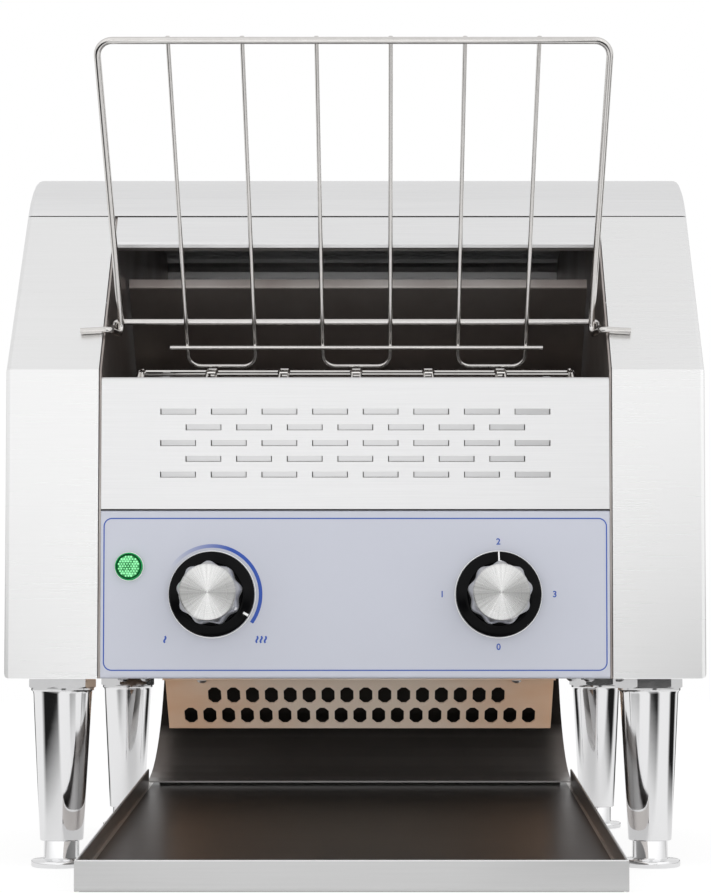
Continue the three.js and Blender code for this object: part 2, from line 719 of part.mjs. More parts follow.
// Gear motor: round motor and gearbox on the right chassis plate, its output shaft off centre
const motorRun = 104;
const motorRadius = 25;
const motorClear = 9;
const motorLift = upperHeaterLift + heaterEndRadius + motorRadius + motorClear;
const motorGap = 8;
const gearboxRadius = 28;
const gearboxLength = 10;
const outputOffset = 14;
const outputRadius = 3.5;
const outputReach = 3;
const motorSeat = plateOuter + clearance;
const motorLength = chainPlane - motorSeat - gearboxLength - motorGap;
const motorPlace = pathPoint(motorRun, motorLift);
{
  const gearboxStart = motorSeat + motorLength;
  const can = turned([
    [0, motorSeat],
    [motorRadius - edgeBend, motorSeat],
    [motorRadius, motorSeat + edgeBend],
    [motorRadius, gearboxStart + clearance],
    [0, gearboxStart + clearance],
  ]);
  const gearbox = rod(gearboxRadius, [gearboxStart, gearboxStart + gearboxLength], roundSides);
  const output = rod(outputRadius, [gearboxStart, chainPlane + outputReach]).translate(0, outputOffset, 0);
  const node = piece('gear_motor', join(can, gearbox, output), castFrame);
  node.position.set(0, motorPlace.y, motorPlace.z);
  node.rotation.y = quarterTurn;
}

// Chain drive: sprockets on the motor and on the drive shaft, and the roller chain round them
const chainRoller = 1.9;
const chainWidth = 6.4;
const motorPitchRadius = 13;
const drivenPitchRadius = 16;
const motorTeeth = 9;
const drivenTeeth = 11;
const outputPlace = { y: motorPlace.y + outputOffset, z: motorPlace.z };
const sprocketSpan = [chainPlane - sprocketWidth / 2, chainPlane + sprocketWidth / 2];
function sprocket(name, pitchRadius, teeth, bore, place) {
  const tip = pitchRadius - chainRoller - 2 * clearance;
  const wheel = alongX(toothed(tip, tip - chainRoller, teeth), sprocketSpan);
  const hole = rodX(bore + clearance, [chainPlane - overrun, chainPlane + overrun], 0, 0);
  const node = piece(name, cut(wheel, hole), ovenSteel);
  node.position.set(0, place.y, place.z);
}
sprocket('motor_sprocket', motorPitchRadius, motorTeeth, outputRadius, outputPlace);
sprocket('driven_sprocket', drivenPitchRadius, drivenTeeth, shaftRadius, shafts[1]);
{
  const near = { ...outputPlace, radius: motorPitchRadius };
  const far = { ...shafts[1], radius: drivenPitchRadius };
  const span = [chainPlane - chainWidth / 2, chainPlane + chainWidth / 2];
  piece('drive_chain', loopBand(near, far, chainRoller, span), ovenSteel);
}

// Fan: square frame on the rear panel with a hub on four arms, and a seven-bladed impeller
const fanDepth = 25;
const fanCorner = 5;
const fanHub = 15;
const fanArm = 4;
const fanArmDepth = 3;
const fanBlades = 7;
const bladeThickness = 1.4;
const bladeTip = 1;
const bladeAngle = THREE.MathUtils.degToRad(38);
const fanPinRadius = 1.8;
const fan = new THREE.Group();
fan.position.set(fanOffset, rearInner - clearance, fanHeight);
fan.rotation.x = quarterTurn;
machine.add(fan);
{
  const square = softSquare(fanSize, fanSize, fanCorner);
  const shell = cut(alongZ(square, [0, fanDepth]), rod(fanBore, [-overrun, fanDepth + overrun], roundSides));
  const arms = [0, 1].map((i) =>
    block([-fanBore - sheet, fanBore + sheet], [-fanArm / 2, fanArm / 2], [fanDepth - fanArmDepth, fanDepth])
      .rotateZ(i * quarterTurn),
  );
  const hub = rod(fanHub, [fanDepth - fanArmDepth, fanDepth]);
  const pin = rod(fanPinRadius, [fanDepth / 2, fanDepth - fanArmDepth / 2]);
  piece('fan_frame', join(shell, ...arms, hub, pin), castFrame, fan);

  const hubDepth = fanDepth - fanArmDepth - clearance;
  const cup = cut(
    rod(fanHub, [fanArmDepth, hubDepth]),
    rod(fanPinRadius + clearance, [fanDepth / 2 - clearance, fanDepth]),
  );
  const bladeReach = fanBore - bladeTip;
  const bladeRoot = fanHub - bladeTip;
  const bladeDepth = hubDepth - fanArmDepth - 2 * bladeTip;
  const [halfThick, halfDeep] = [bladeThickness / 2, bladeDepth / 2];
  const blades = Array.from({ length: fanBlades }, (_, i) =>
    block([bladeRoot, bladeReach], [-halfThick, halfThick], [-halfDeep, halfDeep])
      .rotateX(bladeAngle)
      .translate(0, 0, (fanArmDepth + hubDepth) / 2)
      .rotateZ((i / fanBlades) * 2 * Math.PI),
  );
  piece('fan_impeller', join(cup, ...blades), castFrame, fan);
}

// Knobs: black skirt moulding, fluted metal cap and spindle, each pair turned as one
const knobLift = 0.8;
const skirtRadius = 22.4;
const skirtRim = 3.4;
const skirtSoftening = 1.2;
const shoulderRadius = 17.6;
const shoulderHeight = 6.2;
const coreRadius = 11;
const knobReach = 28;
const coreInset = 6;
const coreHeight = knobReach - coreInset;
const recessRadius = 10;
const recessDepth = 4.5;
const spindleRadius = 3;
const spindleTail = 16;
const fluteCount = 9;
const fluteRadius = 15.6;
const fluteRise = 0.9;
const capRadius = 14.7;
const capRim = 1.2;
const spindleCover = 5;
const spindleEnd = coreHeight - spindleCover;
function knob(name, x) {
  const group = new THREE.Group();
  group.position.set(x, 0, knobHeight);
  group.rotation.x = quarterTurn;
  machine.add(group);

  const bore = spindleRadius + clearance;
  const skirt = turned([
    [0, spindleEnd + clearance],
    [bore, spindleEnd + clearance],
    [bore, knobLift + recessDepth],
    [recessRadius, knobLift + recessDepth],
    [recessRadius, knobLift],
    [skirtRadius - skirtSoftening, knobLift],
    [skirtRadius, knobLift + skirtSoftening],
    [skirtRadius, skirtRim],
    [skirtRadius - skirtSoftening, skirtRim + skirtSoftening],
    [shoulderRadius, shoulderHeight],
    [coreRadius, shoulderHeight],
    [coreRadius, coreHeight],
    [0, coreHeight],
  ]);
  piece(`${name}_knob_skirt`, skirt, blackPlastic, group);

  const fluteSteps = fluteCount * 4;
  const fluted = new THREE.Shape(
    Array.from({ length: fluteSteps }, (_, i) => {
      const angle = (i / fluteSteps) * 2 * Math.PI;
      const radius = fluteRadius + fluteRise * Math.cos(angle * fluteCount);
      return new THREE.Vector2(radius * Math.cos(angle), radius * Math.sin(angle));
    }),
  );
  const grip = alongZ(fluted, [shoulderHeight + clearance, knobReach - capRim]);
  const places = grip.attributes.position;
  for (let i = 0; i < places.count; i += 1) {
    if (places.getZ(i) > coreHeight) {
      const taper = capRadius / Math.hypot(places.getX(i), places.getY(i));
      places.setXY(i, places.getX(i) * taper, places.getY(i) * taper);
    }
  }
  const hollow = rod(coreRadius + clearance, [0, coreHeight + clearance], roundSides);
  const face = turned([
    [0, knobReach - 2 * capRim],
    [capRadius, knobReach - 2 * capRim],
    [capRadius, knobReach - capRim],
    [capRadius - capRim / 2, knobReach],
    [0, knobReach],
  ], fluteSteps);
  piece(`${name}_knob_cap`, join(cut(grip, hollow), face), spunAluminium, group);
  piece(`${name}_spindle`, rod(spindleRadius, [-spindleTail, spindleEnd]), ovenSteel, group);
}
knob('speed', -knobSpread);
knob('function', knobSpread);

// Switch bodies behind the panel: square housing, threaded stem through the panel and rows of terminals
const controllerWidth = 36;
const controllerDepth = 24;
const rotaryWidth = 42;
const rotaryDepth = 32;
const stemReach = 4;
const switchCorner = 3;
const terminalWidth = 6.3;
const terminalThickness = 0.8;
const terminalReach = 8;
function switchBody(name, x, { width, depth, terminals, decks }) {
  const outline = softSquare(width, width, switchCorner, 1);
  const half = width / 2;
  const back = -sheet - clearance;
  const deckDepth = depth / decks;
  const housing = Array.from({ length: decks }, (_, deck) =>
    alongZ(outline, [back - (deck + 1) * deckDepth + terminalThickness, back - deck * deckDepth]),
  );
  const spine = rod(half - switchCorner, [back - depth + switchCorner, back - switchCorner], smallSides);
  const stem = rod(bushStemRadius, [back - switchCorner, stemReach], smallSides);
  const tabs = Array.from({ length: decks }, (_, deck) =>
    rowOf(terminals, 2 * terminalWidth).map((place) => {
      const middle = back - (deck + 1 / 2) * deckDepth;
      return block(
        [place - terminalWidth / 2, place + terminalWidth / 2],
        [-half - terminalReach, -half + terminalReach],
        [middle - terminalThickness / 2, middle + terminalThickness / 2],
      );
    }),
  );
  const bore = rod(spindleRadius + clearance, [-spindleTail - clearance, stemReach + overrun], smallSides);
  const node = piece(name, cut(join(...housing, spine, stem, ...tabs.flat()), bore), castFrame);
  node.position.set(x, 0, knobHeight);
  node.rotation.x = quarterTurn;
}
const controller = { width: controllerWidth, depth: controllerDepth, terminals: 2, decks: 1 };
const rotary = { width: rotaryWidth, depth: rotaryDepth, terminals: 3, decks: 2 };
switchBody('speed_controller', -knobSpread, controller);
switchBody('rotary_switch', knobSpread, rotary);

// Indicator lamp: bezel with its body through the panel, and a faceted lens
const bezelRadius = 7.3;
const bezelHeight = 2.2;
const lensRadius = 6.1;
const lensSeat = 0.8;
const lensRise = 2.1;
const lampTail = 18;
{
  const group = new THREE.Group();
  group.position.set(-lampOffset, 0, lampHeight);
  group.rotation.x = quarterTurn;
  machine.add(group);
  const bezel = turned([
    [0, -lampTail],
    [lampBodyRadius, -lampTail],
    [lampBodyRadius, clearance],
    [bezelRadius, clearance],
    [bezelRadius, bezelHeight - lensSeat / 2],
    [bezelRadius - lensSeat / 2, bezelHeight],
    [lensRadius + clearance, bezelHeight],
    [lensRadius + clearance, lensSeat],
    [0, lensSeat],
  ], smallSides);
  piece('lamp_bezel', bezel, greenLens, group);
  const lens = turned([
    [0, lensSeat + clearance],
    [lensRadius, lensSeat + clearance],
    [lensRadius, bezelHeight],
    [lensRadius * Math.cos(Math.PI / 6), bezelHeight + lensRise / 2],
    [lensRadius * Math.cos(Math.PI / 3), bezelHeight + lensRise],
    [0, bezelHeight + lensRise],
  ], smallSides);
  piece('lamp_lens', lens, greenLens, group);
}

// Terminal block: ribbed strip on the left foot flange
const terminalWays = 5;
const wayWidth = 9;
const blockDepth = 18;
const blockHeight = 16;
const ribThickness = 1.5;
const ribRise = 5;
const terminalBack = 74;
{
  const length = terminalWays * wayWidth;
  const base = block([-blockDepth / 2, blockDepth / 2], [-length / 2, length / 2], [0, blockHeight]);
  const ribs = rowOf(terminalWays + 1, wayWidth).map((y) =>
    block(
      [-blockDepth / 2, blockDepth / 2],
      [y - ribThickness / 2, y + ribThickness / 2],
      [blockHeight - ribThickness, blockHeight + ribRise],
    ),
  );
  const node = piece('terminal_block', join(base, ...ribs), ceramicWhite);
  node.position.set(housingWidth / 2 - halfBody, bodyDepth - terminalBack, legLength + sheet + clearance);
}

// Feed rack: frame wire with hooks over the slopes, two cross bars, and thin wires ending in three loops
const frameWire = 1.75;
const thinWire = 1.1;
const weldSink = 0.2;
const rackInset = 7.5;
const rackHalf = housingInner - rackInset;
const rackLength = 158;
const rackCorner = 8;
const thinPitchShare = 0.2894;
const thinPitch = thinPitchShare * rackHalf;
const thinCount = 6;
const thinBarRun = 12.5;
const thinBarOver = 9.25;
const thinBarHalf = ((thinCount - 1) * thinPitch) / 2 + thinBarOver;
const loopRun = 25;
const loopCorner = 7;
const curlGap = 0.55;
const curlReach = plateInner - rackHalf - frameWire - curlGap;
const curlBend = 3.1;
const curlTail = 3;
const hookReach = 11.5;
const hookSpread = housingInner + hookReach;
const hookDrop = 8;
const hookHeight = footBarHeight - hookDrop;
const hookInset = 4;
const hookForward = housingInner - hookInset;
const hookRun = 6.5;
const hookBend = 4;
{
  const inPath = (x, point) => {
    const [depth, height] = [point.x - footBarDepth, point.y - footBarHeight];
    const run = depth * Math.cos(rackAngle) - height * Math.sin(rackAngle);
    const lift = depth * Math.sin(rackAngle) + height * Math.cos(rackAngle);
    return new THREE.Vector3(x, run, lift);
  };
  const hookOffset = frameWire + clearance;
  const sideKnots = (side) => [
    inPath(side * hookSpread, slopePoint(hookHeight, hookOffset)),
    inPath(side * hookForward, slopePoint(hookHeight + sheet, hookOffset)),
    new THREE.Vector3(side * rackHalf, hookRun, 0),
  ];
  const topKnots = [-1, 1].map((side) => new THREE.Vector3(side * rackHalf, -rackLength, 0));
  const [left, right] = [sideKnots(-1), sideKnots(1)];
  const crown = rounded([left[2], ...topKnots, right[2]], rackCorner, bendSteps + 1).slice(1, -1);
  const [leftHook, rightHook] = [left, right].map((knots) =>
    rounded([...knots, topKnots[0].clone().setX(knots[2].x)], hookBend).slice(0, -1),
  );
  const frameKnots = [...leftHook, ...crown, ...rightHook.reverse()];
  const weldPitch = 2 * frameWire - weldSink;
  const curl = (side) => [
    new THREE.Vector3(side * (rackHalf - curlTail), 0, weldPitch),
    new THREE.Vector3(side * (rackHalf + curlReach), 0, weldPitch),
    new THREE.Vector3(side * (rackHalf + curlReach), 0, -weldPitch),
  ];
  const footBar = rounded([...curl(-1), ...curl(1).reverse()], curlBend);
  const thinFoot = frameWire + thinWire - weldSink - weldPitch;
  const thinTop = frameWire + thinWire - weldSink;
  const thinPlaces = rowOf(thinCount, thinPitch);
  const loops = [0, 2, 4].map((first) => {
    const [from, to] = [thinPlaces[first], thinPlaces[first + 1]];
    const bottom = rounded(
      [
        new THREE.Vector3(from, 0, thinFoot),
        new THREE.Vector3(from, loopRun, thinFoot),
        new THREE.Vector3(to, loopRun, thinFoot),
        new THREE.Vector3(to, 0, thinFoot),
      ],
      loopCorner,
    );
    const [start, end] = [from, to].map((x) => new THREE.Vector3(x, -rackLength - thinWire, thinTop));
    return wire([start, ...bottom, end], thinWire, thinSides);
  });
  const barLift = thinFoot - 2 * thinWire + weldSink;
  const barEnds = [-1, 1].map((side) => new THREE.Vector3(side * thinBarHalf, thinBarRun, barLift));
  const thinBar = wire(barEnds, thinWire, thinSides);
  const frame = join(wire(frameKnots, frameWire), wire(footBar, frameWire));
  piece('feed_rack', join(frame, thinBar, ...loops), chromeWire, path);
}

// Collecting tray: sloping floor, low side walls and a folded front lip
const trayFloorFront = 5.3;
const trayFloorRear = 34.2;
const trayWallReach = 9;
const trayWallEnd = exitFront + trayWallReach;
const trayWallHeight = 9.8;
const trayTail = 12;
const lipHeight = 14.7;
const lipFold = 2.6;
const lipBendShare = 0.42;
const lipBend = lipBendShare * lipFold;
const trayLean = Math.atan2(trayFloorRear - trayFloorFront, trayWallEnd + trayReach);
const trayFloor = (depth) => trayFloorFront + (depth + trayReach) * Math.tan(trayLean);
{
  const half = trayWidth / 2;
  const front = sheet / 2 - trayReach;
  const rear = trayWallEnd + trayTail;
  const foldBack = front + lipFold;
  const corners = [
    new THREE.Vector2(rear, trayFloor(rear) - sheet / 2),
    new THREE.Vector2(foldBack, trayFloor(foldBack) - sheet / 2),
    new THREE.Vector2(foldBack, clearance + sheet / 2),
    new THREE.Vector2(front, clearance + sheet / 2),
    new THREE.Vector2(front, lipHeight),
  ];
  const floor = bentSheet(corners, lipBend, [-half, half]);
  const wallFront = sheet - trayReach;
  const wallOutline = new THREE.Shape([
    new THREE.Vector2(wallFront - sheet / 2, trayFloor(wallFront) - sheet / 2),
    new THREE.Vector2(trayWallEnd, trayFloor(trayWallEnd) - sheet / 2),
    new THREE.Vector2(trayWallEnd, trayFloor(trayWallEnd) + trayWallHeight),
    new THREE.Vector2(wallFront - sheet / 2, lipHeight - sheet / 2),
  ]);
  const walls = [-1, 1].map((side) => alongX(wallOutline, spanOn(side, half - sheet, half)));
  piece('collecting_tray', join(floor, ...walls), brushedSteel);
}

// Toast chute: rolled sheet from the exit opening down to the tray, with a ledge that carries the tray's end
const chuteRadius = 110;
const chuteSteps = 10;
const chuteStraight = 4;
const chuteFlange = 16;
const chuteSetback = 1.5;
const chuteRise = 1.6;
const ledgeReach = 8;
const ledgeStep = 6;
{
  const chuteStart = trayWallEnd + chuteSetback;
  const endHeight = trayFloor(chuteStart) + chuteRise + sheet / 2;
  const heart = new THREE.Vector2(
    chuteStart - chuteRadius * Math.sin(trayLean),
    endHeight + chuteRadius * Math.cos(trayLean),
  );
  const seat = legLength - clearance - sheet / 2;
  const topAngle = Math.acos((heart.y - seat + chuteStraight) / chuteRadius);
  const curve = Array.from({ length: chuteSteps + 1 }, (_, i) => {
    const angle = trayLean + ((topAngle - trayLean) * i) / chuteSteps;
    const spoke = new THREE.Vector2(Math.sin(angle), -Math.cos(angle));
    return spoke.multiplyScalar(chuteRadius).add(heart);
  });
  const last = curve.at(-1);
  const top = new THREE.Vector2(last.x + chuteStraight / Math.tan(topAngle), seat);
  const flange = top.clone().add(new THREE.Vector2(chuteFlange, 0));
  const head = rounded([last, top, flange], panelBend);
  const half = trayWidth / 2;
  const slide = alongX(stripShape([...curve, ...head.slice(1)]), [-half, half]);
  const under = (depth) => trayFloor(depth) - sheet - clearance - sheet / 2;
  const tail = trayWallEnd + trayTail;
  const behind = tail + clearance + sheet;
  const ledgeCorners = [
    new THREE.Vector2(tail - ledgeReach, under(tail - ledgeReach)),
    new THREE.Vector2(behind, under(behind)),
    new THREE.Vector2(behind, trayFloor(behind) + chuteRise + sheet),
    new THREE.Vector2(behind + ledgeStep, trayFloor(behind + ledgeStep) + chuteRise + sheet),
  ];
  const ledgeHalf = half - ledgeStep;
  const ledge = bentSheet(ledgeCorners, sheet / 2, [-ledgeHalf, ledgeHalf]);
  piece('toast_chute', join(slide, ledge), brushedSteel);
}

// Perforated guard: flanged plate with folded sides that hangs from the front edge of the exit
const guardInset = 12;
const guardHalf = trayWidth / 2 - guardInset;
const guardFlange = 16;
const guardSetback = 2;
const guardTop = exitFront - guardSetback;
const guardLength = 38.4;
const guardFold = 6;
const guardAngle = THREE.MathUtils.degToRad(51.3);
const guardHoleWidth = 8;
const guardHoleLength = 12.4;
const guardHoleCorner = 2.6;
const guardPitchShare = 0.0979;
const guardHolePitch = guardPitchShare * guardHalf;
const guardUpperRun = 12.2;
const guardUpperCount = 16;
const guardUpperShift = -2;
const guardLowerRun = 28.2;
const guardLowerCount = 19;
{
  const seat = legLength - clearance - sheet / 2;
  const bend = new THREE.Vector2(guardTop, seat);
  const down = new THREE.Vector2(Math.cos(guardAngle), -Math.sin(guardAngle));
  const corners = [
    bend.clone().add(new THREE.Vector2(-guardFlange, 0)),
    bend,
    bend.clone().addScaledVector(down, guardLength),
  ];
  const foldOutline = new THREE.Shape([
    new THREE.Vector2(panelBend, -sheet / 2),
    new THREE.Vector2(guardLength, -sheet / 2),
    new THREE.Vector2(guardLength, guardFold / 2),
    new THREE.Vector2(guardLength - guardFold / 2, guardFold),
    new THREE.Vector2(2 * panelBend, guardFold),
  ]);
  const folds = [-1, 1].map((side) =>
    alongX(foldOutline, spanOn(side, guardHalf - sheet, guardHalf))
      .rotateX(-guardAngle)
      .translate(0, guardTop, seat),
  );
  const hole = softSquare(guardHoleWidth, guardHoleLength, guardHoleCorner, 1);
  const places = [
    ...rowOf(guardUpperCount, guardHolePitch, guardUpperShift).map((x) => [x, guardUpperRun]),
    ...rowOf(guardLowerCount, guardHolePitch).map((x) => [x, guardLowerRun]),
  ];
  const holes = places.map(([x, run]) =>
    extruded(hole, 2 * overrun)
      .translate(x, run, -overrun)
      .rotateX(-guardAngle)
      .translate(0, guardTop, seat),
  );
  const plate = bentSheet(corners, panelBend, [-guardHalf, guardHalf]);
  piece('perforated_guard', cut(join(plate, ...folds), ...holes), tintedSteel);
}

// Legs: tapered sleeves with a hexagon head under the foot flanges, and levelling feet in their bores
const legInset = 27;
const legSpread = halfBody - legInset;
const legFront = 25;
const legBack = 24;
const legRear = bodyDepth - legBack;
const hexRadius = 18;
const hexHeight = 5.2;
const sleeveTop = 15.6;
const sleeveBottom = 11.4;
const sleeveShoulder = 1.4;
const footReach = 14;
const sleeveLength = legLength - footReach;
const sleeveBore = 9.8;
const boreDepth = 52;
const stemRadius = 9.4;
const stemLength = 44;
const footRadius = 16;
const footHeight = 4;
const footSoftening = 1;
const leftHexTurn = THREE.MathUtils.degToRad(20.5);
const rightHexTurn = THREE.MathUtils.degToRad(2.5);
const legSides = 16;
for (const [name, x, y] of [
  ['front_left', -legSpread, legFront],
  ['front_right', legSpread, legFront],
  ['rear_left', -legSpread, legRear],
  ['rear_right', legSpread, legRear],
]) {
  const hexTurn = x < 0 ? leftHexTurn : rightHexTurn;
  const head = alongZ(ring(hexRadius, 6, hexTurn), [-hexHeight - clearance, -clearance]);
  const sleeve = turned([
    [0, -sleeveLength + boreDepth],
    [sleeveBore, -sleeveLength + boreDepth],
    [sleeveBore, -sleeveLength],
    [sleeveBottom, -sleeveLength],
    [sleeveTop, -hexHeight - sleeveShoulder],
    [sleeveTop + sleeveShoulder / 2, -hexHeight - clearance],
    [0, -hexHeight - clearance],
  ], legSides);
  const leg = piece(`leg_sleeve_${name}`, join(head, sleeve), chromeWire);
  leg.position.set(x, y, legLength);
  const foot = turned([
    [0, 0],
    [footRadius - footSoftening, 0],
    [footRadius, footSoftening],
    [footRadius, footHeight - footSoftening],
    [footRadius - footSoftening, footHeight],
    [stemRadius, footHeight],
    [stemRadius, footHeight + stemLength],
    [0, footHeight + stemLength],
  ], legSides);
  piece(`levelling_foot_${name}`, foot, chromeWire).position.set(x, y, 0);
}

export default machine;
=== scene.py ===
# %% [markdown]
# # A conveyor toaster
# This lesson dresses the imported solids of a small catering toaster. Bread leans on a wire rack, rides down
# through the oven on a wire belt and slides out on a tray. The solids already have the right places and
# sizes, so Blender adds what they lack: finishes, printed scales, smooth knobs and legs, and small fixings.

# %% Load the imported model
import math

import bmesh
import bpy
from mathutils import Matrix, Vector


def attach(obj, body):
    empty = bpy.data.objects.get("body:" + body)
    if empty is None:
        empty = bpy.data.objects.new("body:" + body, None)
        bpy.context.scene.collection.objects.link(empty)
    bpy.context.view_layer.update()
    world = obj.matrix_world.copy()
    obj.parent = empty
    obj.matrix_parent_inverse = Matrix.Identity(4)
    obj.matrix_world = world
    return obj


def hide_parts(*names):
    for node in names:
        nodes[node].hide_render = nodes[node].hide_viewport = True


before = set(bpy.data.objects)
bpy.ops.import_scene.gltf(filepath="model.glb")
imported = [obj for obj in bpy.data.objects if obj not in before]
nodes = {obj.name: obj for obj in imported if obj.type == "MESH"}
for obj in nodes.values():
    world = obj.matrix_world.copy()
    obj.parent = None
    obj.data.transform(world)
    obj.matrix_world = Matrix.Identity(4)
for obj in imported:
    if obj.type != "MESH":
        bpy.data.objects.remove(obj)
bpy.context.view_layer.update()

# %% [markdown]
# ## Units and places
# The model is in metres, but a maker measures sheet metal in millimetres. Every size below is in millimetres,
# and one factor turns it into metres where a mesh is written. x runs to the right, y to the back, z up.

# %% Shared sizes
MM = 0.001
FRONT = -105.0
KNOB_HEIGHT = 144.0
SPEED_X, FUNCTION_X = -75.0, 75.0
RACK_ANGLE = math.radians(51.9)
BLUE = (0.038, 0.090, 0.38)
FILM = (0.503, 0.519, 0.584)
print("front face at y =", FRONT, "mm")

# %% [markdown]
# ## Writing shader maths as Python
# A finish is easier to read as a sum than as a web of boxes. `Reading` wraps one socket, and adding or
# multiplying two readings puts in the Math node. Every other node comes from `Finish.node`, which takes
# the node's type, its settings and its inputs.

# %% Readings and finishes


class Reading:
    """A value that changes over a surface: sums on it become Math nodes."""

    def __init__(self, finish, socket):
        self.finish = finish
        self.socket = socket

    def math(self, operation, first, second=0.0):
        return self.finish.node("ShaderNodeMath", {"operation": operation}, {0: first, 1: second})

    def __add__(self, other):
        return self.math("ADD", self, other)

    def __sub__(self, other):
        return self.math("SUBTRACT", self, other)

    def __rsub__(self, other):
        return self.math("SUBTRACT", other, self)

    def __mul__(self, other):
        return self.math("MULTIPLY", self, other)

    def __truediv__(self, other):
        return self.math("DIVIDE", self, other)

    def __gt__(self, other):
        return self.math("GREATER_THAN", self, other)

    def absolute(self):
        return self.math("ABSOLUTE", self)

    def angle_from(self, other):
        return self.math("ARCTAN2", self, other)

    __radd__ = __add__
    __rmul__ = __mul__


class Finish:
    """A node tree and the one method that adds a node to it."""

    def __init__(self, owner):
        self.owner = owner
        owner.use_nodes = True
        self.tree = owner.node_tree

    def put(self, node, inputs):
        for key, value in inputs.items():
            if isinstance(value, Reading):
                self.tree.links.new(value.socket, node.inputs[key])
            else:
                node.inputs[key].default_value = value

    def node(self, kind, settings=None, inputs=None, output=0):
        node = self.tree.nodes.new(kind)
        for key, value in (settings or {}).items():
            if key == "stops":
                ramp = node.color_ramp.elements
                ramp[0].position, ramp[0].color = value[0]
                ramp[1].position, ramp[1].color = value[-1]
                for place, color in value[1:-1]:
                    ramp.new(place).color = color
            else:
                setattr(node, key, value)
        self.put(node, inputs or {})
        return Reading(self, node.outputs[output])

    def place(self):
        return self.node("ShaderNodeTexCoord", {}, {}, "Object")

    def axis(self, letter):
        return self.node("ShaderNodeSeparateXYZ", {}, {0: self.place()}, letter)

    def around(self, x, z):
        """How far to the right of and above a point of the front."""
        return self.axis("X") - x * MM, self.axis("Z") - z * MM

    def noise(self, stretch, detail):
        """Noise with its own number of grains per metre along each axis."""
        spread = self.node("ShaderNodeVectorMath", {"operation": "MULTIPLY"}, {0: self.place(), 1: stretch})
        inputs = {"Vector": spread, "Scale": 1.0, "Detail": detail}
        return self.node("ShaderNodeTexNoise", {}, inputs, "Fac")

    def ramp(self, value, *stops):
        return self.node("ShaderNodeValToRGB", {"stops": stops}, {"Fac": value})

    def mix(self, share, first, second):
        settings = {"data_type": "RGBA", "clamp_factor": True}
        colors = [c if isinstance(c, Reading) else (*c, 1) for c in (first, second)]
        return self.node("ShaderNodeMix", settings, {0: share, 6: colors[0], 7: colors[1]}, 2)

    def plain(self, kind, level, **inputs):
        """A shader of one even grey."""
        return self.node(kind, {}, {"Color": (level, level, level, 1), **inputs})

    def blend(self, share, first, second):
        return self.node("ShaderNodeMixShader", {}, {0: share, 1: first, 2: second})

    def bump(self, height, depth, strength):
        inputs = {"Height": height, "Distance": depth * MM, "Strength": strength}
        return self.node("ShaderNodeBump", {}, inputs)


class Surface(Finish):
    """A material around one Principled shader."""

    def __init__(self, name, color, metallic=0.0, roughness=0.5, **sockets):
        super().__init__(bpy.data.materials.new(name))
        self.shader = self.tree.nodes["Principled BSDF"]
        self.wear(**{"Base Color": (*color, 1), "Metallic": metallic, "Roughness": roughness, **sockets})

    def wear(self, **inputs):
        self.put(self.shader, inputs)


print("finishes are written as sums")

# %% [markdown]
# ## Brushed stainless sheet
# The covers are stainless sheet, brushed in one direction and then folded. Brushing is a field of very long,
# very thin scratches, so noise is stretched: few grains along the brush and many across it. A second, slow
# noise is the greasy cloudiness that steel gets from hands. The scratches feed colour, roughness and bump.
# The flat top of the hood is a tone darker: painted shade on the top, which catches the most light.

# %% Brushed steel


def brushed(name, color, roughness, stretch, contrast=0.10, depth=0.012):
    steel = Surface(name, color, metallic=1.0)
    scratches = steel.noise(stretch, 3.0)
    clouds = steel.noise((9, 9, 9), 2.0)
    dark = tuple(c * (1 - contrast) for c in color)
    light = tuple(min(c * (1 + contrast / 2), 1) for c in color)
    steel.tone = steel.mix(scratches * 0.7 + clouds * 0.3, dark, light)
    steel.wear(**{
        "Base Color": steel.tone,
        "Roughness": scratches * 0.10 + clouds * 0.05 + (roughness - 0.075),
        "Normal": steel.bump(scratches, depth, 0.5),
    })
    return steel


TOP_START = 387.0
cover_steel = brushed("cover_steel", (0.90, 0.90, 0.905), 0.34, (18, 18, 1700))
side_steel = brushed("side_steel", (0.92, 0.92, 0.92), 0.29, (18, 18, 1700), contrast=0.06, depth=0.003)
hood_steel = brushed("hood_steel", (0.905, 0.905, 0.91), 0.34, (18, 1700, 1700))
# Painted shade: the flat top of the hood gets a darker colour than its sides.
top_painted_shade = (hood_steel.axis("Z") - TOP_START * MM) * 500.0
hood_steel.wear(**{"Base Color": hood_steel.mix(top_painted_shade, hood_steel.tone, (0.68, 0.68, 0.685))})
# A paler steel for the tray's hem: a painted highlight along the rim.
hem_highlight_steel = brushed("hem_highlight_steel", (0.95, 0.95, 0.95), 0.50, (400, 400, 400))
print("four brushed steels")

# %% [markdown]
# ## The tray and the chute
# Tray and chute are one kind of sheet, but they don't look alike. The lip is bright, as it faces the room.
# Behind the lip the floor lies in the dark under the cabinet, painted a warm dark grey as shade, and the walls
# get a lighter painted tone. The chute gets darker higher up, towards the oven. A painted highlight marks the
# fold where the walls rise, so the colour also depends on the distance from the middle plane.

# %% Tray and chute sheet
TRAY_INNER, LIP_INNER = 129.0, 103.3
tray_sheet = Surface("tray_sheet", (0.66, 0.66, 0.66), metallic=1.0)
tray_brush = tray_sheet.noise((18, 900, 900), 3.0)
tray_cloud = tray_sheet.noise((9, 14, 9), 3.0)
tray_side = tray_sheet.axis("X").absolute()
# Painted shade: behind the lip the tray lies under the cabinet, so its colour is darkened there.
tray_shaded_part = tray_sheet.axis("Y") > (FRONT - LIP_INNER) * MM
tray_fold_highlight = (tray_side > (TRAY_INNER - 1.5) * MM) - (tray_side > (TRAY_INNER - 0.1) * MM)
tray_wall_lit = tray_side > (TRAY_INNER - 0.1) * MM
tray_inside_shade_and_light = tray_sheet.mix(tray_brush * 0.5 + tray_cloud * 0.5, (0.125, 0.12, 0.12), (0.22, 0.212, 0.21))
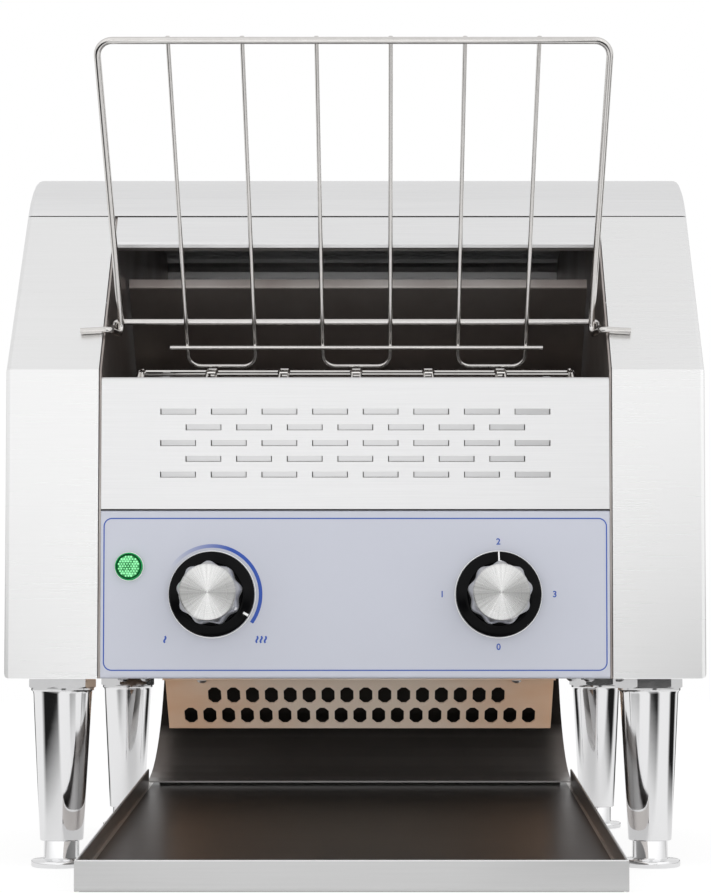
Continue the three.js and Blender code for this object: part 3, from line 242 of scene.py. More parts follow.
# The walls get a lighter painted tone than the floor, and a painted highlight marks the fold.
tray_inside_shade_and_light = tray_sheet.mix(tray_wall_lit, tray_inside_shade_and_light, (0.62, 0.59, 0.57))
tray_inside_shade_and_light = tray_sheet.mix(tray_fold_highlight * 0.8, tray_inside_shade_and_light, (0.92, 0.90, 0.88))
tray_bright = tray_sheet.mix(tray_brush * 0.7 + tray_cloud * 0.3, (0.60, 0.60, 0.60), (0.68, 0.68, 0.68))
tray_sheet.wear(**{
    "Base Color": tray_sheet.mix(tray_shaded_part, tray_bright, tray_inside_shade_and_light),
    "Roughness": tray_brush * 0.10 + tray_cloud * 0.06 + 0.24,
    "Normal": tray_sheet.bump(tray_brush, 0.012, 0.5),
})

chute_sheet = Surface("chute_sheet", (0.3, 0.28, 0.27), metallic=1.0)
chute_brush = chute_sheet.noise((18, 18, 1400), 3.0)
chute_mottle = chute_sheet.noise((14, 14, 14), 4.0)
# The colour darkens with height, towards the oven.
chute_tone = chute_sheet.ramp(
    chute_sheet.axis("Z") * 10.0 + chute_mottle * 0.06 - 0.03,
    (0.36, (0.64, 0.635, 0.63, 1)), (0.46, (0.56, 0.55, 0.54, 1)), (0.62, (0.40, 0.385, 0.375, 1)),
    (0.70, (0.06, 0.055, 0.05, 1)),
)
chute_sheet.wear(**{
    "Base Color": chute_tone,
    "Roughness": chute_brush * 0.12 + chute_mottle * 0.10 + 0.24,
    "Normal": chute_sheet.bump(chute_brush, 0.012, 0.5),
})
print("tray folds", TRAY_INNER, "mm from the middle")

# %% [markdown]
# ## Steel that has been hot
# Inside the oven, steel loses its shine and turns brown. The same scratches are mixed with a rough stain, and
# the roughness goes up. The guard under the cabinet has only a tan bloom, stronger towards its ends.

# %% Oven steels
oven_steel = Surface("oven_steel", (0.58, 0.55, 0.53), metallic=1.0)
oven_stain = oven_steel.noise((22, 22, 22), 5.0)
oven_scratches = oven_steel.noise((20, 1300, 1300), 3.0)
oven_steel.wear(**{
    "Base Color": oven_steel.mix(oven_stain * 1.6 - 0.3, (0.58, 0.55, 0.53), (0.33, 0.28, 0.26)),
    "Roughness": oven_stain * 0.18 + oven_scratches * 0.10 + 0.26,
    "Normal": oven_steel.bump(oven_scratches, 0.01, 0.6),
})

guard_steel = Surface("guard_steel", (0.70, 0.48, 0.33), metallic=0.08)
guard_ends = guard_steel.axis("X").absolute()
guard_bloom = guard_steel.noise((26, 60, 60), 3.0)
guard_scratches = guard_steel.noise((14, 1500, 1500), 3.0)
guard_steel.wear(**{
    "Base Color": guard_steel.mix(
        guard_ends * 7.0 + guard_bloom * 0.6 - 0.45, (1.0, 0.84, 0.70), (0.82, 0.46, 0.25)
    ),
    "Roughness": guard_scratches * 0.12 + guard_bloom * 0.08 + 0.28,
    "Normal": guard_steel.bump(guard_scratches, 0.01, 0.5),
})
print("oven and guard steels")

# %% [markdown]
# ## Bright metals
# Chrome is almost a mirror, so its detail is in the faint orange peel of the plating and in a few dull
# smears. The knob caps are aluminium turned on a lathe: the tool leaves rings round the middle. Such rings
# draw the light into two bright fan shapes, and these are painted into the face's colour as a highlight.

# %% Bright metals
CAP_FACE = 27.3
chrome = Surface("chrome_plating", (0.90, 0.90, 0.91), metallic=1.0, roughness=0.05)
peel = chrome.noise((160, 160, 160), 2.0)
smears = chrome.noise((30, 30, 12), 4.0)
chrome.wear(**{
    "Base Color": chrome.mix(smears, (0.86, 0.86, 0.87), (0.92, 0.92, 0.925)),
    "Roughness": smears * 0.07 + 0.02,
    "Normal": chrome.bump(peel, 0.02, 0.35),
})


def turned_metal(name, axis_x):
    """A knob's metal: rings, a painted highlight of two bright fan shapes on the turned face, an even satin on
    the grip.
    """
    metal = Surface(name, (0.8, 0.8, 0.8), metallic=1.0)
    across, up = metal.around(axis_x, KNOB_HEIGHT)
    square = across * across + up * up
    radius = metal.node("ShaderNodeMath", {"operation": "SQRT"}, {0: square})
    spin = metal.node("ShaderNodeCombineXYZ", {}, {"X": radius * 5200.0, "Y": metal.axis("Y") * 900.0})
    rings = metal.node("ShaderNodeTexNoise", {}, {"Vector": spin, "Scale": 1.0, "Detail": 3.0}, "Fac")
    turn = up.angle_from(across)
    spokes = {"W": turn, "Scale": 9.0, "Detail": 4.0}
    rays = metal.node("ShaderNodeTexNoise", {"noise_dimensions": "1D"}, spokes, "Fac")
    # Painted highlight: two bright fan shapes by angle, with streaks, mixed into the face's colour.
    painted_fans = up * up / (square + 1e-9) + rays * 0.9 - 0.45
    face = metal.mix(painted_fans * 0.85 + rings * 0.2, (0.38, 0.38, 0.375), (0.86, 0.86, 0.855))
    is_face = metal.axis("Y") * -1.0 > (CAP_FACE - FRONT) * MM
    metal.wear(**{
        "Base Color": metal.mix(is_face, (0.60, 0.595, 0.59), face),
        "Roughness": rings * 0.12 + (0.36 - is_face * 0.14),
        "Normal": metal.bump(rings, 0.02, 0.5),
    })
    return metal


speed_metal = turned_metal("speed_cap_metal", SPEED_X)
function_metal = turned_metal("function_cap_metal", FUNCTION_X)


def grained(name, grain, detail, dark, light, roughness, spread, depth, strength):
    """Bare metal with one even grain: drawing marks, oil, pores or wear, by the size of the grain."""
    metal = Surface(name, light, metallic=1.0)
    grains = metal.noise((grain, grain, grain), detail)
    metal.wear(**{
        "Base Color": metal.mix(grains, dark, light),
        "Roughness": grains * spread + roughness,
        "Normal": metal.bump(grains, depth, strength),
    })
    return metal


wire_chrome = grained("wire_chrome", 240, 3.0, (0.70, 0.68, 0.66), (0.82, 0.80, 0.78), 0.09, 0.10, 0.01, 0.3)
drive_steel = grained("drive_steel", 90, 4.0, (0.24, 0.23, 0.22), (0.50, 0.50, 0.51), 0.22, 0.25, 0.03, 0.4)
bush_bronze = grained("bush_bronze", 700, 3.0, (0.42, 0.27, 0.12), (0.66, 0.48, 0.25), 0.28, 0.2, 0.03, 0.5)
screw_steel = grained("screw_steel", 420, 3.0, (0.42, 0.42, 0.43), (0.74, 0.74, 0.75), 0.2, 0.2, 0.02, 0.4)
print("chrome, turned metal and four grained metals")

# %% [markdown]
# ## Plastics, film, paint and ceramic
# The control panel is a printed film glued on steel. Its surface is satin with a very fine pebble. The knobs'
# skirts are glossy black mouldings, and fan and switches are plain black with a faint grain.

# %% Plastics and paints


def moulded(name, color, roughness, grain, depth, shine=0.5, cloud=0.10):
    plastic = Surface(name, color, **{"Specular IOR Level": shine})
    pebble = plastic.noise((grain, grain, grain), 2.0)
    wipes = plastic.noise((35, 35, 35), 4.0)
    pale, full = [tuple(min(c * share, 1) for c in color) for share in (1 - cloud, 1 + cloud)]
    plastic.wear(**{
        "Base Color": plastic.mix(wipes, pale, full),
        "Roughness": wipes * cloud + pebble * 0.06 + (roughness - 0.03 - cloud / 2),
        "Normal": plastic.bump(pebble, depth, 0.4),
    })
    return plastic


panel_film = moulded("panel_film", FILM, 0.42, 2600, 0.004, 0.3, 0.012)
knob_black = moulded("knob_black", (0.003, 0.003, 0.0035), 0.16, 900, 0.003, 0.08)
fan_black = moulded("fan_black", (0.018, 0.018, 0.020), 0.55, 1500, 0.02)
cast_black = moulded("cast_black", (0.030, 0.030, 0.032), 0.50, 800, 0.06)
ceramic = moulded("ceramic_white", (0.78, 0.74, 0.66), 0.60, 1100, 0.03)
white_mark = moulded("white_mark", (0.90, 0.90, 0.90), 0.45, 900, 0.005)
print_blue = moulded("print_blue", BLUE, 0.42, 2600, 0.004, 0.2, 0.03)
print("plastics and paints made")

# %% [markdown]
# ## Smooth curves, sharp folds
# The solids are made of flat faces. A small geometry-nodes group marks every face as smooth and every edge
# that turns by more than a limit as sharp. Round sheets then look round, and folds keep their line. It is a
# modifier, so the solid itself stays as it was packed.

# %% Smoothing modifier


def smoothing_group(limit):
    group = bpy.data.node_groups.new("smooth_by_angle", "GeometryNodeTree")
    for way in ("INPUT", "OUTPUT"):
        group.interface.new_socket("Geometry", in_out=way, socket_type="NodeSocketGeometry")
    start, end = group.nodes.new("NodeGroupInput"), group.nodes.new("NodeGroupOutput")
    angle = group.nodes.new("GeometryNodeInputMeshEdgeAngle")
    sharp = group.nodes.new("FunctionNodeCompare")
    sharp.data_type, sharp.operation = "FLOAT", "GREATER_THAN"
    sharp.inputs[1].default_value = limit
    faces = group.nodes.new("GeometryNodeSetShadeSmooth")
    edges = group.nodes.new("GeometryNodeSetShadeSmooth")
    faces.domain, edges.domain = "FACE", "EDGE"
    faces.inputs["Shade Smooth"].default_value = True
    edges.inputs["Shade Smooth"].default_value = False
    link = group.links.new
    link(start.outputs[0], faces.inputs["Geometry"])
    link(faces.outputs[0], edges.inputs["Geometry"])
    link(angle.outputs[0], sharp.inputs[0])
    link(sharp.outputs[0], edges.inputs["Selection"])
    link(edges.outputs[0], end.inputs[0])
    return group


smooth_by_angle = smoothing_group(math.radians(33))


def smooth(thing):
    thing.modifiers.new("smooth", "NODES").node_group = smooth_by_angle


def soften(thing, width):
    """A tiny bevel: no real edge is perfectly sharp, and the bevel catches the light."""
    bevel = thing.modifiers.new("edge", "BEVEL")
    bevel.width, bevel.segments = width * MM, 2
    bevel.limit_method, bevel.angle_limit = "ANGLE", math.radians(50)
    bevel.use_clamp_overlap = True


print("smoothing at 33 degrees")

# %% [markdown]
# ## Finish every solid
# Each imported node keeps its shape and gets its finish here. Knob caps, legs, lens, belt and rack are made
# again further down with rounder forms, because their solids have few faces.

# %% Finishes of the solids
finishes = {
    side_steel: ["left_side_cover", "right_side_cover"],
    cover_steel: ["throat_strip", "vent_panel", "rear_panel"],
    hood_steel: ["top_hood"],
    oven_steel: ["left_chassis_plate", "right_chassis_plate", "base_plate", "heat_shield", "upper_reflector",
                 "lower_reflector"],
    guard_steel: ["perforated_guard"],
    tray_sheet: ["collecting_tray"],
    chute_sheet: ["toast_chute"],
    wire_chrome: ["feed_rack", "conveyor_belt"],
    drive_steel: ["idler_shaft", "drive_shaft", "motor_sprocket", "driven_sprocket", "drive_chain",
                  "speed_spindle", "function_spindle"],
    bush_bronze: ["idler_bush_left", "idler_bush_right", "drive_bush_left", "drive_bush_right"],
    cast_black: ["gear_motor"],
    fan_black: ["fan_frame", "fan_impeller", "speed_controller", "rotary_switch", "cord_bush"],
    knob_black: ["speed_knob_skirt", "function_knob_skirt"],
    panel_film: ["control_panel"],
    ceramic: ["terminal_block"],
}


def dress(node, finish):
    thing = nodes[node]
    thing.data.materials.clear()
    thing.data.materials.append(finish.owner)
    smooth(thing)


for finish, names in finishes.items():
    for name in names:
        dress(name, finish)
for name in ("left_side_cover", "right_side_cover", "collecting_tray"):
    soften(nodes[name], 0.25)
print(sum(len(names) for names in finishes.values()), "nodes finished")

# %% [markdown]
# ## Heaters with ceramic ends
# A tubular heater is a dark steel sheath with white insulators at both ends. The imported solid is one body, so
# the material tells the two apart by the distance from the middle plane.

# %% Heaters
HEATED_HALF = 121.1
heater = Surface("heater_rod", (0.2, 0.16, 0.14), metallic=1.0)
from_middle = heater.axis("X").absolute()
is_end = from_middle > HEATED_HALF * MM
scale_spots = heater.noise((60, 300, 300), 4.0)
sheath = heater.mix(scale_spots, (0.10, 0.08, 0.07), (0.26, 0.20, 0.17))
heater.wear(**{
    "Base Color": heater.mix(is_end, sheath, (0.50, 0.45, 0.38)),
    "Metallic": 1 - is_end,
    "Roughness": scale_spots * 0.2 + 0.35,
    "Normal": heater.bump(scale_spots, 0.04, 0.5),
})
for name in sorted(nodes):
    if "heater" in name:
        dress(name, heater)
print("seven heaters finished")

# %% [markdown]
# ## Building pieces
# New pieces are written as lists of points and faces, in the same frame as the solids. `make_piece` cleans
# the normals, gives the mesh its finish and hangs it on the body that it moves with. `lathe` and `sweep` make
# what is turned and what is bent from wire, and `stacked` lists the faces of forms that are drawn ring by ring.

# %% Piece makers


def make_piece(name, points, faces, finish, body, slot):
    mesh = bpy.data.meshes.new(name)
    mesh.from_pydata([Vector(p) * MM for p in points], [], faces)
    tidy = bmesh.new()
    tidy.from_mesh(mesh)
    bmesh.ops.remove_doubles(tidy, verts=tidy.verts, dist=1e-7)
    bmesh.ops.recalc_face_normals(tidy, faces=tidy.faces)
    tidy.to_mesh(mesh)
    tidy.free()
    mesh.materials.append(finish.owner)
    piece = bpy.data.objects.new(name, mesh)
    bpy.context.scene.collection.objects.link(piece)
    smooth(piece)
    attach(piece, body)
    return piece


def joined(parts):
    """One list of points and faces out of several."""
    points, faces = [], []
    for more_points, more_faces in parts:
        first = len(points)
        points += more_points
        faces += [[first + corner for corner in face] for face in more_faces]
    return points, faces


def circle(radius, height, sides):
    turns = [2 * math.pi * i / sides for i in range(sides)]
    return [Vector((radius * math.cos(turn), radius * math.sin(turn), height)) for turn in turns]


def stacked(rings, sides, closed=False):
    """Faces between rings of points that follow each other: a closed loop, or both ends are shut."""
    faces = []
    for ring in range(rings if closed else rings - 1):
        low, high = ring * sides, (ring + 1) % rings * sides
        for i in range(sides):
            k = (i + 1) % sides
            faces.append([low + i, low + k, high + k, high + i])
    if not closed:
        faces += [list(range(sides)), [(rings - 1) * sides + i for i in range(sides)]]
    return faces


def headings(route, closed=False):
    """Each point of a route with its direction there."""
    first, last = (route[-1], route[0]) if closed else (route[0], route[-1])
    line = [first, *route, last]
    return [(knot, (after - before).normalized()) for before, knot, after in zip(line, line[1:], line[2:])]


def moved(part, matrix):
    points, faces = part
    return [matrix @ Vector(p) for p in points], faces


def lathe(profile, sides):
    """Turn a profile of radius and height round z. The profile starts and ends on the axis."""
    points, faces, rings = [], [], []
    for radius, height in profile:
        count = sides if radius > 0 else 1
        rings.append(range(len(points), len(points) + count))
        points += circle(radius, height, sides)[:count]
    for low, high in zip(rings, rings[1:]):
        for i in range(sides):
            k = i + 1
            corners = low[i % len(low)], low[k % len(low)], high[k % len(high)], high[i % len(high)]
            face = list(dict.fromkeys(corners))
            if len(face) > 2:
                faces.append(face)
    return points, faces


def sweep(route, radius, sides):
    """A round wire along a route, its section carried on without twist."""
    knots = headings([Vector(p) for p in route])
    normal = knots[0][1].orthogonal().normalized()
    points = []
    for knot, heading in knots:
        normal = (normal - heading * normal.dot(heading)).normalized()
        side = heading.cross(normal)
        points += [knot + normal * p.x + side * p.y for p in circle(radius, 0, sides)]
    return points, stacked(len(knots), sides)


def rounded_route(corners, radius, steps):
    """Corners joined by straight lines, each inner corner rounded."""
    corners = [Vector(c) for c in corners]
    route = [corners[0]]
    for before, corner, after in zip(corners, corners[1:], corners[2:]):
        back, ahead = (before - corner).normalized(), (after - corner).normalized()
        opening = back.angle(ahead)
        start = corner + back * (radius / math.tan(opening / 2))
        heart = corner + (back + ahead).normalized() * (radius / math.sin(opening / 2))
        spoke = start - heart
        for step in range(steps + 1):
            turn = (math.pi - opening) * step / steps
            route.append(heart + spoke * math.cos(turn) - back * radius * math.sin(turn))
    route.append(corners[-1])
    return route


print("lathe, sweep and stacked rings are ready")

# %% [markdown]
# ## Printing on the control panel
# The film carries a thin blue frame, a ring round the speed knob that swells from pale to full blue, small
# heat waves for less and more, and a number at each of the four places of the other knob. A pale ring round
# each knob and the lamp is a painted highlight of the light on their rims, laid on like print. Print has
# almost no thickness: each line is a ribbon of real mesh, eight hundredths of a millimetre proud of the film.

# %% Printed lines
PRINT_RISE = 0.08
PRINT_ROOT = 0.03


def ribbon(line, width, closed=False):
    """A flat ribbon on the panel along points of x and z."""
    root, crest = FRONT + PRINT_ROOT, FRONT - PRINT_RISE
    points = []
    for knot, heading in headings(line, closed):
        across = Vector((-heading.y, heading.x)) * width / 2
        for (x, z), y in zip([knot + across] * 2 + [knot - across] * 2, (root, crest, crest, root)):
            points.append(Vector((x, y, z)))
    return points, stacked(len(line), 4, closed)


def frame_line(x, low, high, radius, steps=10):
    reach, top, bottom = x - radius, high - radius, low + radius
    line = []
    for i, heart in enumerate([(reach, top), (-reach, top), (-reach, bottom), (reach, bottom)]):
        for step in range(steps + 1):
            angle = math.pi / 2 * (i + step / steps)
            line.append(Vector(heart) + Vector((math.cos(angle), math.sin(angle))) * radius)
    return line


printed_frame = ribbon(frame_line(131.7, 104.3, 183.9, 4.2), 0.62, True)
make_piece("printed_frame", *printed_frame, print_blue, "chassis", "panel_film")


def wave(x, z, height=3.5, swing=0.42):
    steps = 12
    shares = [step / steps for step in range(steps + 1)]
    return [Vector((x + swing * math.sin(2 * math.pi * s), z + height * (0.5 - s))) for s in shares]


waves = [ribbon(wave(x, 120.4), 0.95) for x in (-99.6, -51.4, -49.2, -47.0)]
make_piece("printed_waves", *joined(waves), print_blue, "chassis", "panel_film")

ring_ink = moulded("ring_ink", BLUE, 0.42, 2600, 0.004, 0.2, 0.03)
ring_across, ring_up = ring_ink.around(SPEED_X, KNOB_HEIGHT)
clockwise = ring_across.angle_from(ring_up)
ring_ink.wear(**{"Base Color": ring_ink.mix(clockwise * 0.72 + 0.72, FILM, BLUE)})
RING_RADIUS, RING_START, RING_SWEEP = 25.45, -62, 187.5
ring_line = [
    Vector((SPEED_X, KNOB_HEIGHT)) + Vector((math.sin(turn), math.cos(turn))) * RING_RADIUS
    for turn in [math.radians(RING_START + RING_SWEEP * step / 90) for step in range(91)]
]
make_piece("printed_ring", *ribbon(ring_line, 1.9), ring_ink, "chassis", "panel_film")


def circle_line(x, z, radius):
    return [Vector((x + p.x, z + p.y)) for p in circle(radius, 0, 96)]


LAMP_X, LAMP_Z = -118.5, 158.6
# Painted highlight: a pale ring just outside each knob's skirt and the lamp's bezel, for light on their rims.
rim_highlight_places = [(SPEED_X, KNOB_HEIGHT, 22.75), (FUNCTION_X, KNOB_HEIGHT, 22.75), (LAMP_X, LAMP_Z, 7.4)]
rim_highlight_rings = [ribbon(circle_line(*place), 0.5, True) for place in rim_highlight_places]
make_piece("painted_rim_highlights", *joined(rim_highlight_rings), white_mark, "chassis", "panel_film")
print("frame, waves, ring and", len(rim_highlight_places), "outlines printed")

# %% Printed numbers


def number(text, x, z, size):
    lettering = bpy.data.curves.new("number_" + text, "FONT")
    lettering.body, lettering.size = text, size * MM
    lettering.align_x, lettering.align_y = "CENTER", "CENTER"
    lettering.extrude, lettering.offset = PRINT_RISE * MM, 0.1 * MM
    lettering.materials.append(print_blue.owner)
    piece = bpy.data.objects.new("number_" + text, lettering)
    bpy.context.scene.collection.objects.link(piece)
    piece.location = Vector((x, FRONT, z)) * MM
    piece.rotation_euler = (math.pi / 2, 0, 0)
    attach(piece, "chassis")


for text, x, z in (("0", 0, -27.6), ("1", -29.5, 0), ("2", 0, 27.6), ("3", 29.5, 0)):
    number(text, FUNCTION_X + x, KNOB_HEIGHT + z, 4.6)
print("four numbers printed")

# %% [markdown]
# ## Knob caps and pointers
# Each knob is a black skirt with a metal cap: nine shallow flutes give grip, and the cap's face is turned
# flat with a bevelled rim. The solid has few faces on the flutes, so the cap is lofted again with many, in
# the same place and size. A white line on skirt and flute is the pointer.

# %% Knobs
LOBES = 9


def facing_front(x, z=KNOB_HEIGHT):
    """Turn a form whose z axis is its own axis so that it looks out of the panel."""
    return Matrix.Translation((x, FRONT, z)) @ Matrix.Rotation(math.pi / 2, 4, "X")


def cap_form(sides=216):
    levels = [(6.5, 1.0, 0.0), (7.1, 1.0, 0.35), (21.5, 1.0, 0.30), (25.0, 0.55, 0.15), (25.9, 0.18, 0.0)]
    points = []
    for height, fluting, swell in levels:
        for i in range(sides):
            angle = 2 * math.pi * i / sides
            lobe = math.cos(LOBES * (angle - math.pi / 2))
            radius = 14.85 + fluting * (0.75 + 0.85 * lobe) - 0.25 + swell
            points.append(Vector((radius * math.cos(angle), radius * math.sin(angle), height)))
    rim = [(14.7, 26.2), (14.7, 27.0), (14.45, 27.5), (14.0, 27.8), (13.6, 27.86), (0.9, 27.62)]
    for radius, height in rim:
        points += circle(radius, height, sides)
    return points, stacked(len(levels) + len(rim), sides)


def pointer_form(angle, course, width):
    """A raised white line over points of radius and height."""
    out = Vector((math.cos(angle), math.sin(angle), 0))
    across = Vector((-math.sin(angle), math.cos(angle), 0)) * width / 2
    points = []
    for radius, height in course:
        depth = Vector((0, 0, 0.36)) if radius > 17 else out * 0.36
        base = out * radius + Vector((0, 0, height))
        points += [base + across, base - across, base - across - depth, base + across - depth]
    return points, stacked(len(course), 4)


rim_mark = [(22.25, 4.15), (21.4, 4.75), (19.4, 5.6)]
skirt_line = [*rim_mark, (17.7, 6.3), (16.7, 6.4), (16.75, 7.4), (16.7, 21.5), (15.4, 25.1), (15.05, 25.7)]
cap_mark = [(16.75, 20.5), (16.7, 21.5), (15.4, 25.1), (15.0, 25.8)]
pointers = {"speed": [(rim_mark, 1.25), (cap_mark, 1.5)], "function": [(skirt_line, 0.75)]}
knobs = [("speed", SPEED_X, speed_metal, -30), ("function", FUNCTION_X, function_metal, 90)]
for name, x, metal, turn in knobs:
    body = name + "_control"
    cap = make_piece(name + "_cap", *moved(cap_form(), facing_front(x)), metal, body, "knob_metal")
    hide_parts(name + "_knob_cap")
    marks = [pointer_form(math.radians(turn), course, width) for course, width in pointers[name]]
    pointer = moved(joined(marks), facing_front(x))
    make_piece(name + "_pointer", *pointer, white_mark, body, "knob_black")
print(len(knobs), "caps with", LOBES, "flutes")

# %% Knob skirts
skirt_profile = [
    (0, 1.0), (10, 1.0), (10.2, 0.8), (21.3, 0.8), (22.0, 1.05), (22.4, 1.9), (22.4, 3.2), (22.1, 3.9),
    (21.4, 4.4), (20.6, 4.75), (17.9, 5.95), (17.3, 6.2), (16.6, 6.2), (16.2, 5.7), (15.9, 5.1), (11, 5.1),
    (11, 22), (0, 22),
]
for name, x, _, _ in knobs:
    form = moved(lathe(skirt_profile, 96), facing_front(x))
    skirt = make_piece(name + "_skirt", *form, knob_black, name + "_control", "knob_black")
    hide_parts(name + "_knob_skirt")
print(len(knobs), "skirts turned")

# %% [markdown]
# ## The signal lamp
# Behind the clear green cap glows a small lamp, and the cap's inside is a field of little pyramids that
# break up the light. They are modelled as real pyramids on a shallow dome. Their tips glow almost white,
# the valleys stay green, so the colour follows the height of the mesh over the dome.

# %% Signal lamp


def from_lamp(finish):
    """The square of the distance from the lamp's axis, in square metres."""
    across, up = finish.around(LAMP_X, LAMP_Z)
    return across * across + up * up


DOME_TOP, DOME_FALL = 3.3, 0.024
lit = {"Emission Strength": 1.0, "Specular IOR Level": 0.15}
lens_glow = Surface("lens_glow", (0.02, 0.35, 0.10), roughness=0.25, **lit)
lens_relief = from_lamp(lens_glow) * (DOME_FALL / MM) - lens_glow.axis("Y") + (FRONT - DOME_TOP) * MM
sparkle = lens_glow.noise((420, 420, 420), 2.0)
lens_color = lens_glow.mix(lens_relief * 1600.0 + sparkle * 1.2 - 0.52, (0.0, 0.11, 0.02), (0.36, 1.0, 0.50))
lens_body = lens_glow.mix(0.8, lens_color, (0.0, 0.05, 0.01))
lens_glow.wear(**{"Base Color": lens_body, "Emission Color": lens_color})

RIM_START = 6.65
# Painted glow: the bezel emits faintly, most on its rim, standing in for the lamp's light in the green plastic.
faint_glow = {"Emission Strength": 0.25, "Specular IOR Level": 0.2}
bezel_green = Surface("bezel_green", (0.01, 0.26, 0.07), roughness=0.2, **faint_glow)
swirl = bezel_green.noise((240, 240, 240), 2.0)
is_rim = from_lamp(bezel_green) > (RIM_START * MM) ** 2
bezel_color = bezel_green.mix(is_rim * (swirl * 0.8 + 0.5), (0.0, 0.030, 0.008), (0.005, 0.27, 0.07))
bezel_green.wear(**{
    "Base Color": bezel_color,
    "Emission Color": bezel_color,
    "Roughness": swirl * 0.15 + 0.12,
})


def lens_form():
    dome = lathe([(0, 1.3), (6.0, 1.3), (6.0, 2.0), (5.6, 2.5), (4.5, 2.95), (3.0, 3.2), (0, DOME_TOP)], 48)
    parts, pitch = [dome], 1.42
    for row in range(-5, 6):
        for column in range(-5, 6):
            x, y = (column + (row % 2) / 2) * pitch, row * pitch * math.sqrt(3) / 2
            reach = math.hypot(x, y)
            if reach < 5.5:
                top = DOME_TOP - DOME_FALL * reach ** 2
                pyramid = lathe([(0, top - 0.5), (0.80, top - 0.35), (0.46, top + 0.40), (0, top + 0.55)], 6)
                parts.append(moved(pyramid, Matrix.Translation((x, y, 0))))
    return joined(parts)


to_lamp = facing_front(LAMP_X, LAMP_Z)
lens = make_piece("lamp_pyramids", *moved(lens_form(), to_lamp), lens_glow, "chassis", "lamp_green")
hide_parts("lamp_lens")
bezel_profile = [
    (0, -18), (5.6, -18), (5.6, 0.3), (7.1, 0.3), (7.3, 0.6), (7.3, 1.7), (7.05, 2.1), (6.7, 2.2), (6.4, 2.1),
    (6.4, 0.9), (0, 0.9),
]
bezel_form = moved(lathe(bezel_profile, 64), to_lamp)
bezel = make_piece("lamp_ring", *bezel_form, bezel_green, "chassis", "lamp_green")
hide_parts("lamp_bezel")
print("lamp at", LAMP_X, LAMP_Z)

# %% [markdown]
# ## Legs
# A levelling leg is a tapered chromed tube under a hexagon nut, with a screwed foot in its bore. Chrome shows
# every facet, so tube and foot are turned again with many sides. The hexagon stays a hexagon, with the
# rounded chamfer that a nut has.

# %% Legs and feet
LEG_SPREAD = 157
LEG_PLACES = {
    f"{row}_{side}": (x, y) for row, y in (("front", -80), ("rear", 185))
    for side, x in (("left", -LEG_SPREAD), ("right", LEG_SPREAD))
}
LEG_TOP = 100.0


def hexagon_form(radius, low, high, chamfer, turn):
    """A nut: six flats, its lower corners cut by a cone."""
    corners = [Matrix.Rotation(turn, 3, "Z") @ corner for corner in circle(radius, 0, 6)]
    outline = [a.lerp(b, step / 8) for a, b in zip(corners, corners[1:] + corners[:1]) for step in range(8)]
    flat = radius * math.cos(math.pi / 6)
    points = []
    for level, cone in ((high, 0.0), (low, chamfer)):
        for corner in outline:
            extra = max(corner.length - flat, 0) / (radius - flat)
            points.append(corner + Vector((0, 0, level + cone * extra ** 1.2)))
    points += [corner.normalized() * (flat - 0.15) + Vector((0, 0, low)) for corner in outline]
    return points, stacked(3, len(outline))


sleeve_profile = [
    (0, -33.5), (9.8, -34), (9.8, -86), (11.0, -86), (11.4, -85.6), (11.6, -82), (15.55, -8.2), (15.75, -6.9),
    (16.6, -6.2), (16.6, -5.2), (0, -5.2),
]
foot_profile = [
    (0, 0), (15.3, 0), (15.8, 0.25), (16, 0.8), (16, 3.1), (15.8, 3.6), (15.2, 3.9), (10.4, 4.0), (9.6, 4.25),
    (9.4, 5.0), (9.4, 46.8), (8.6, 48), (0, 48),
]
for place, (x, y) in LEG_PLACES.items():
    under = Matrix.Translation((x, y, LEG_TOP))
    head = hexagon_form(18, -5.5, -0.3, 1.1, math.radians(20.5 if x < 0 else 2.5))
    leg = moved(joined([head, lathe(sleeve_profile, 96)]), under)
    sleeve = make_piece("leg_tube_" + place, *leg, chrome, "chassis", "chrome")
    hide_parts("leg_sleeve_" + place)
    disc = moved(lathe(foot_profile, 96), Matrix.Translation((x, y, 0)))
    foot = make_piece("foot_disc_" + place, *disc, chrome, "foot_" + place, "chrome")
    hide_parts("levelling_foot_" + place)
print(len(LEG_PLACES), "legs turned")

# %% [markdown]
# ## The feed rack
# The rack is spot welded from two thicknesses of wire. Its frame and foot bar are thick, and the thin wires
# run in pairs that end in loops over the belt. The route of each wire is the one in the solid. A weld leaves
# a little swollen bead where two wires cross.

# %% Rack wires
RACK_FOOT = Vector((0, 31.0 + FRONT, 291.6))
THICK, THIN, SINK = 1.75, 1.1, 0.2
RACK_HALF, RACK_LENGTH = 127.5, 157.85
SLOPE_START, SLOPE = 262.5, math.radians(58.2)
KINK, BAR_RUN, BAR_HALF = 6.5, 12.5, 101.5


def on_path(x, run, lift):
    """A point across, down and off the rack's plane, in the machine's frame."""
    down = Vector((0, math.cos(RACK_ANGLE), -math.sin(RACK_ANGLE)))
    off = Vector((0, math.sin(RACK_ANGLE), math.cos(RACK_ANGLE)))
    return RACK_FOOT + Vector((x, 0, 0)) + down * run + off * lift


def on_slope(x, height):
    depth = (height - SLOPE_START) / math.tan(SLOPE)
    offset = THICK + 0.3
    return Vector((x, depth - offset * math.sin(SLOPE) + FRONT, height + offset * math.cos(SLOPE)))


def hook(side):
    knots = [on_slope(side * 146.5, 283.6), on_slope(side * 131, 284.6), on_path(side * RACK_HALF, KINK, 0),
             on_path(side * RACK_HALF, -RACK_LENGTH, 0)]
    return rounded_route(knots, 4, 8)[:-1]


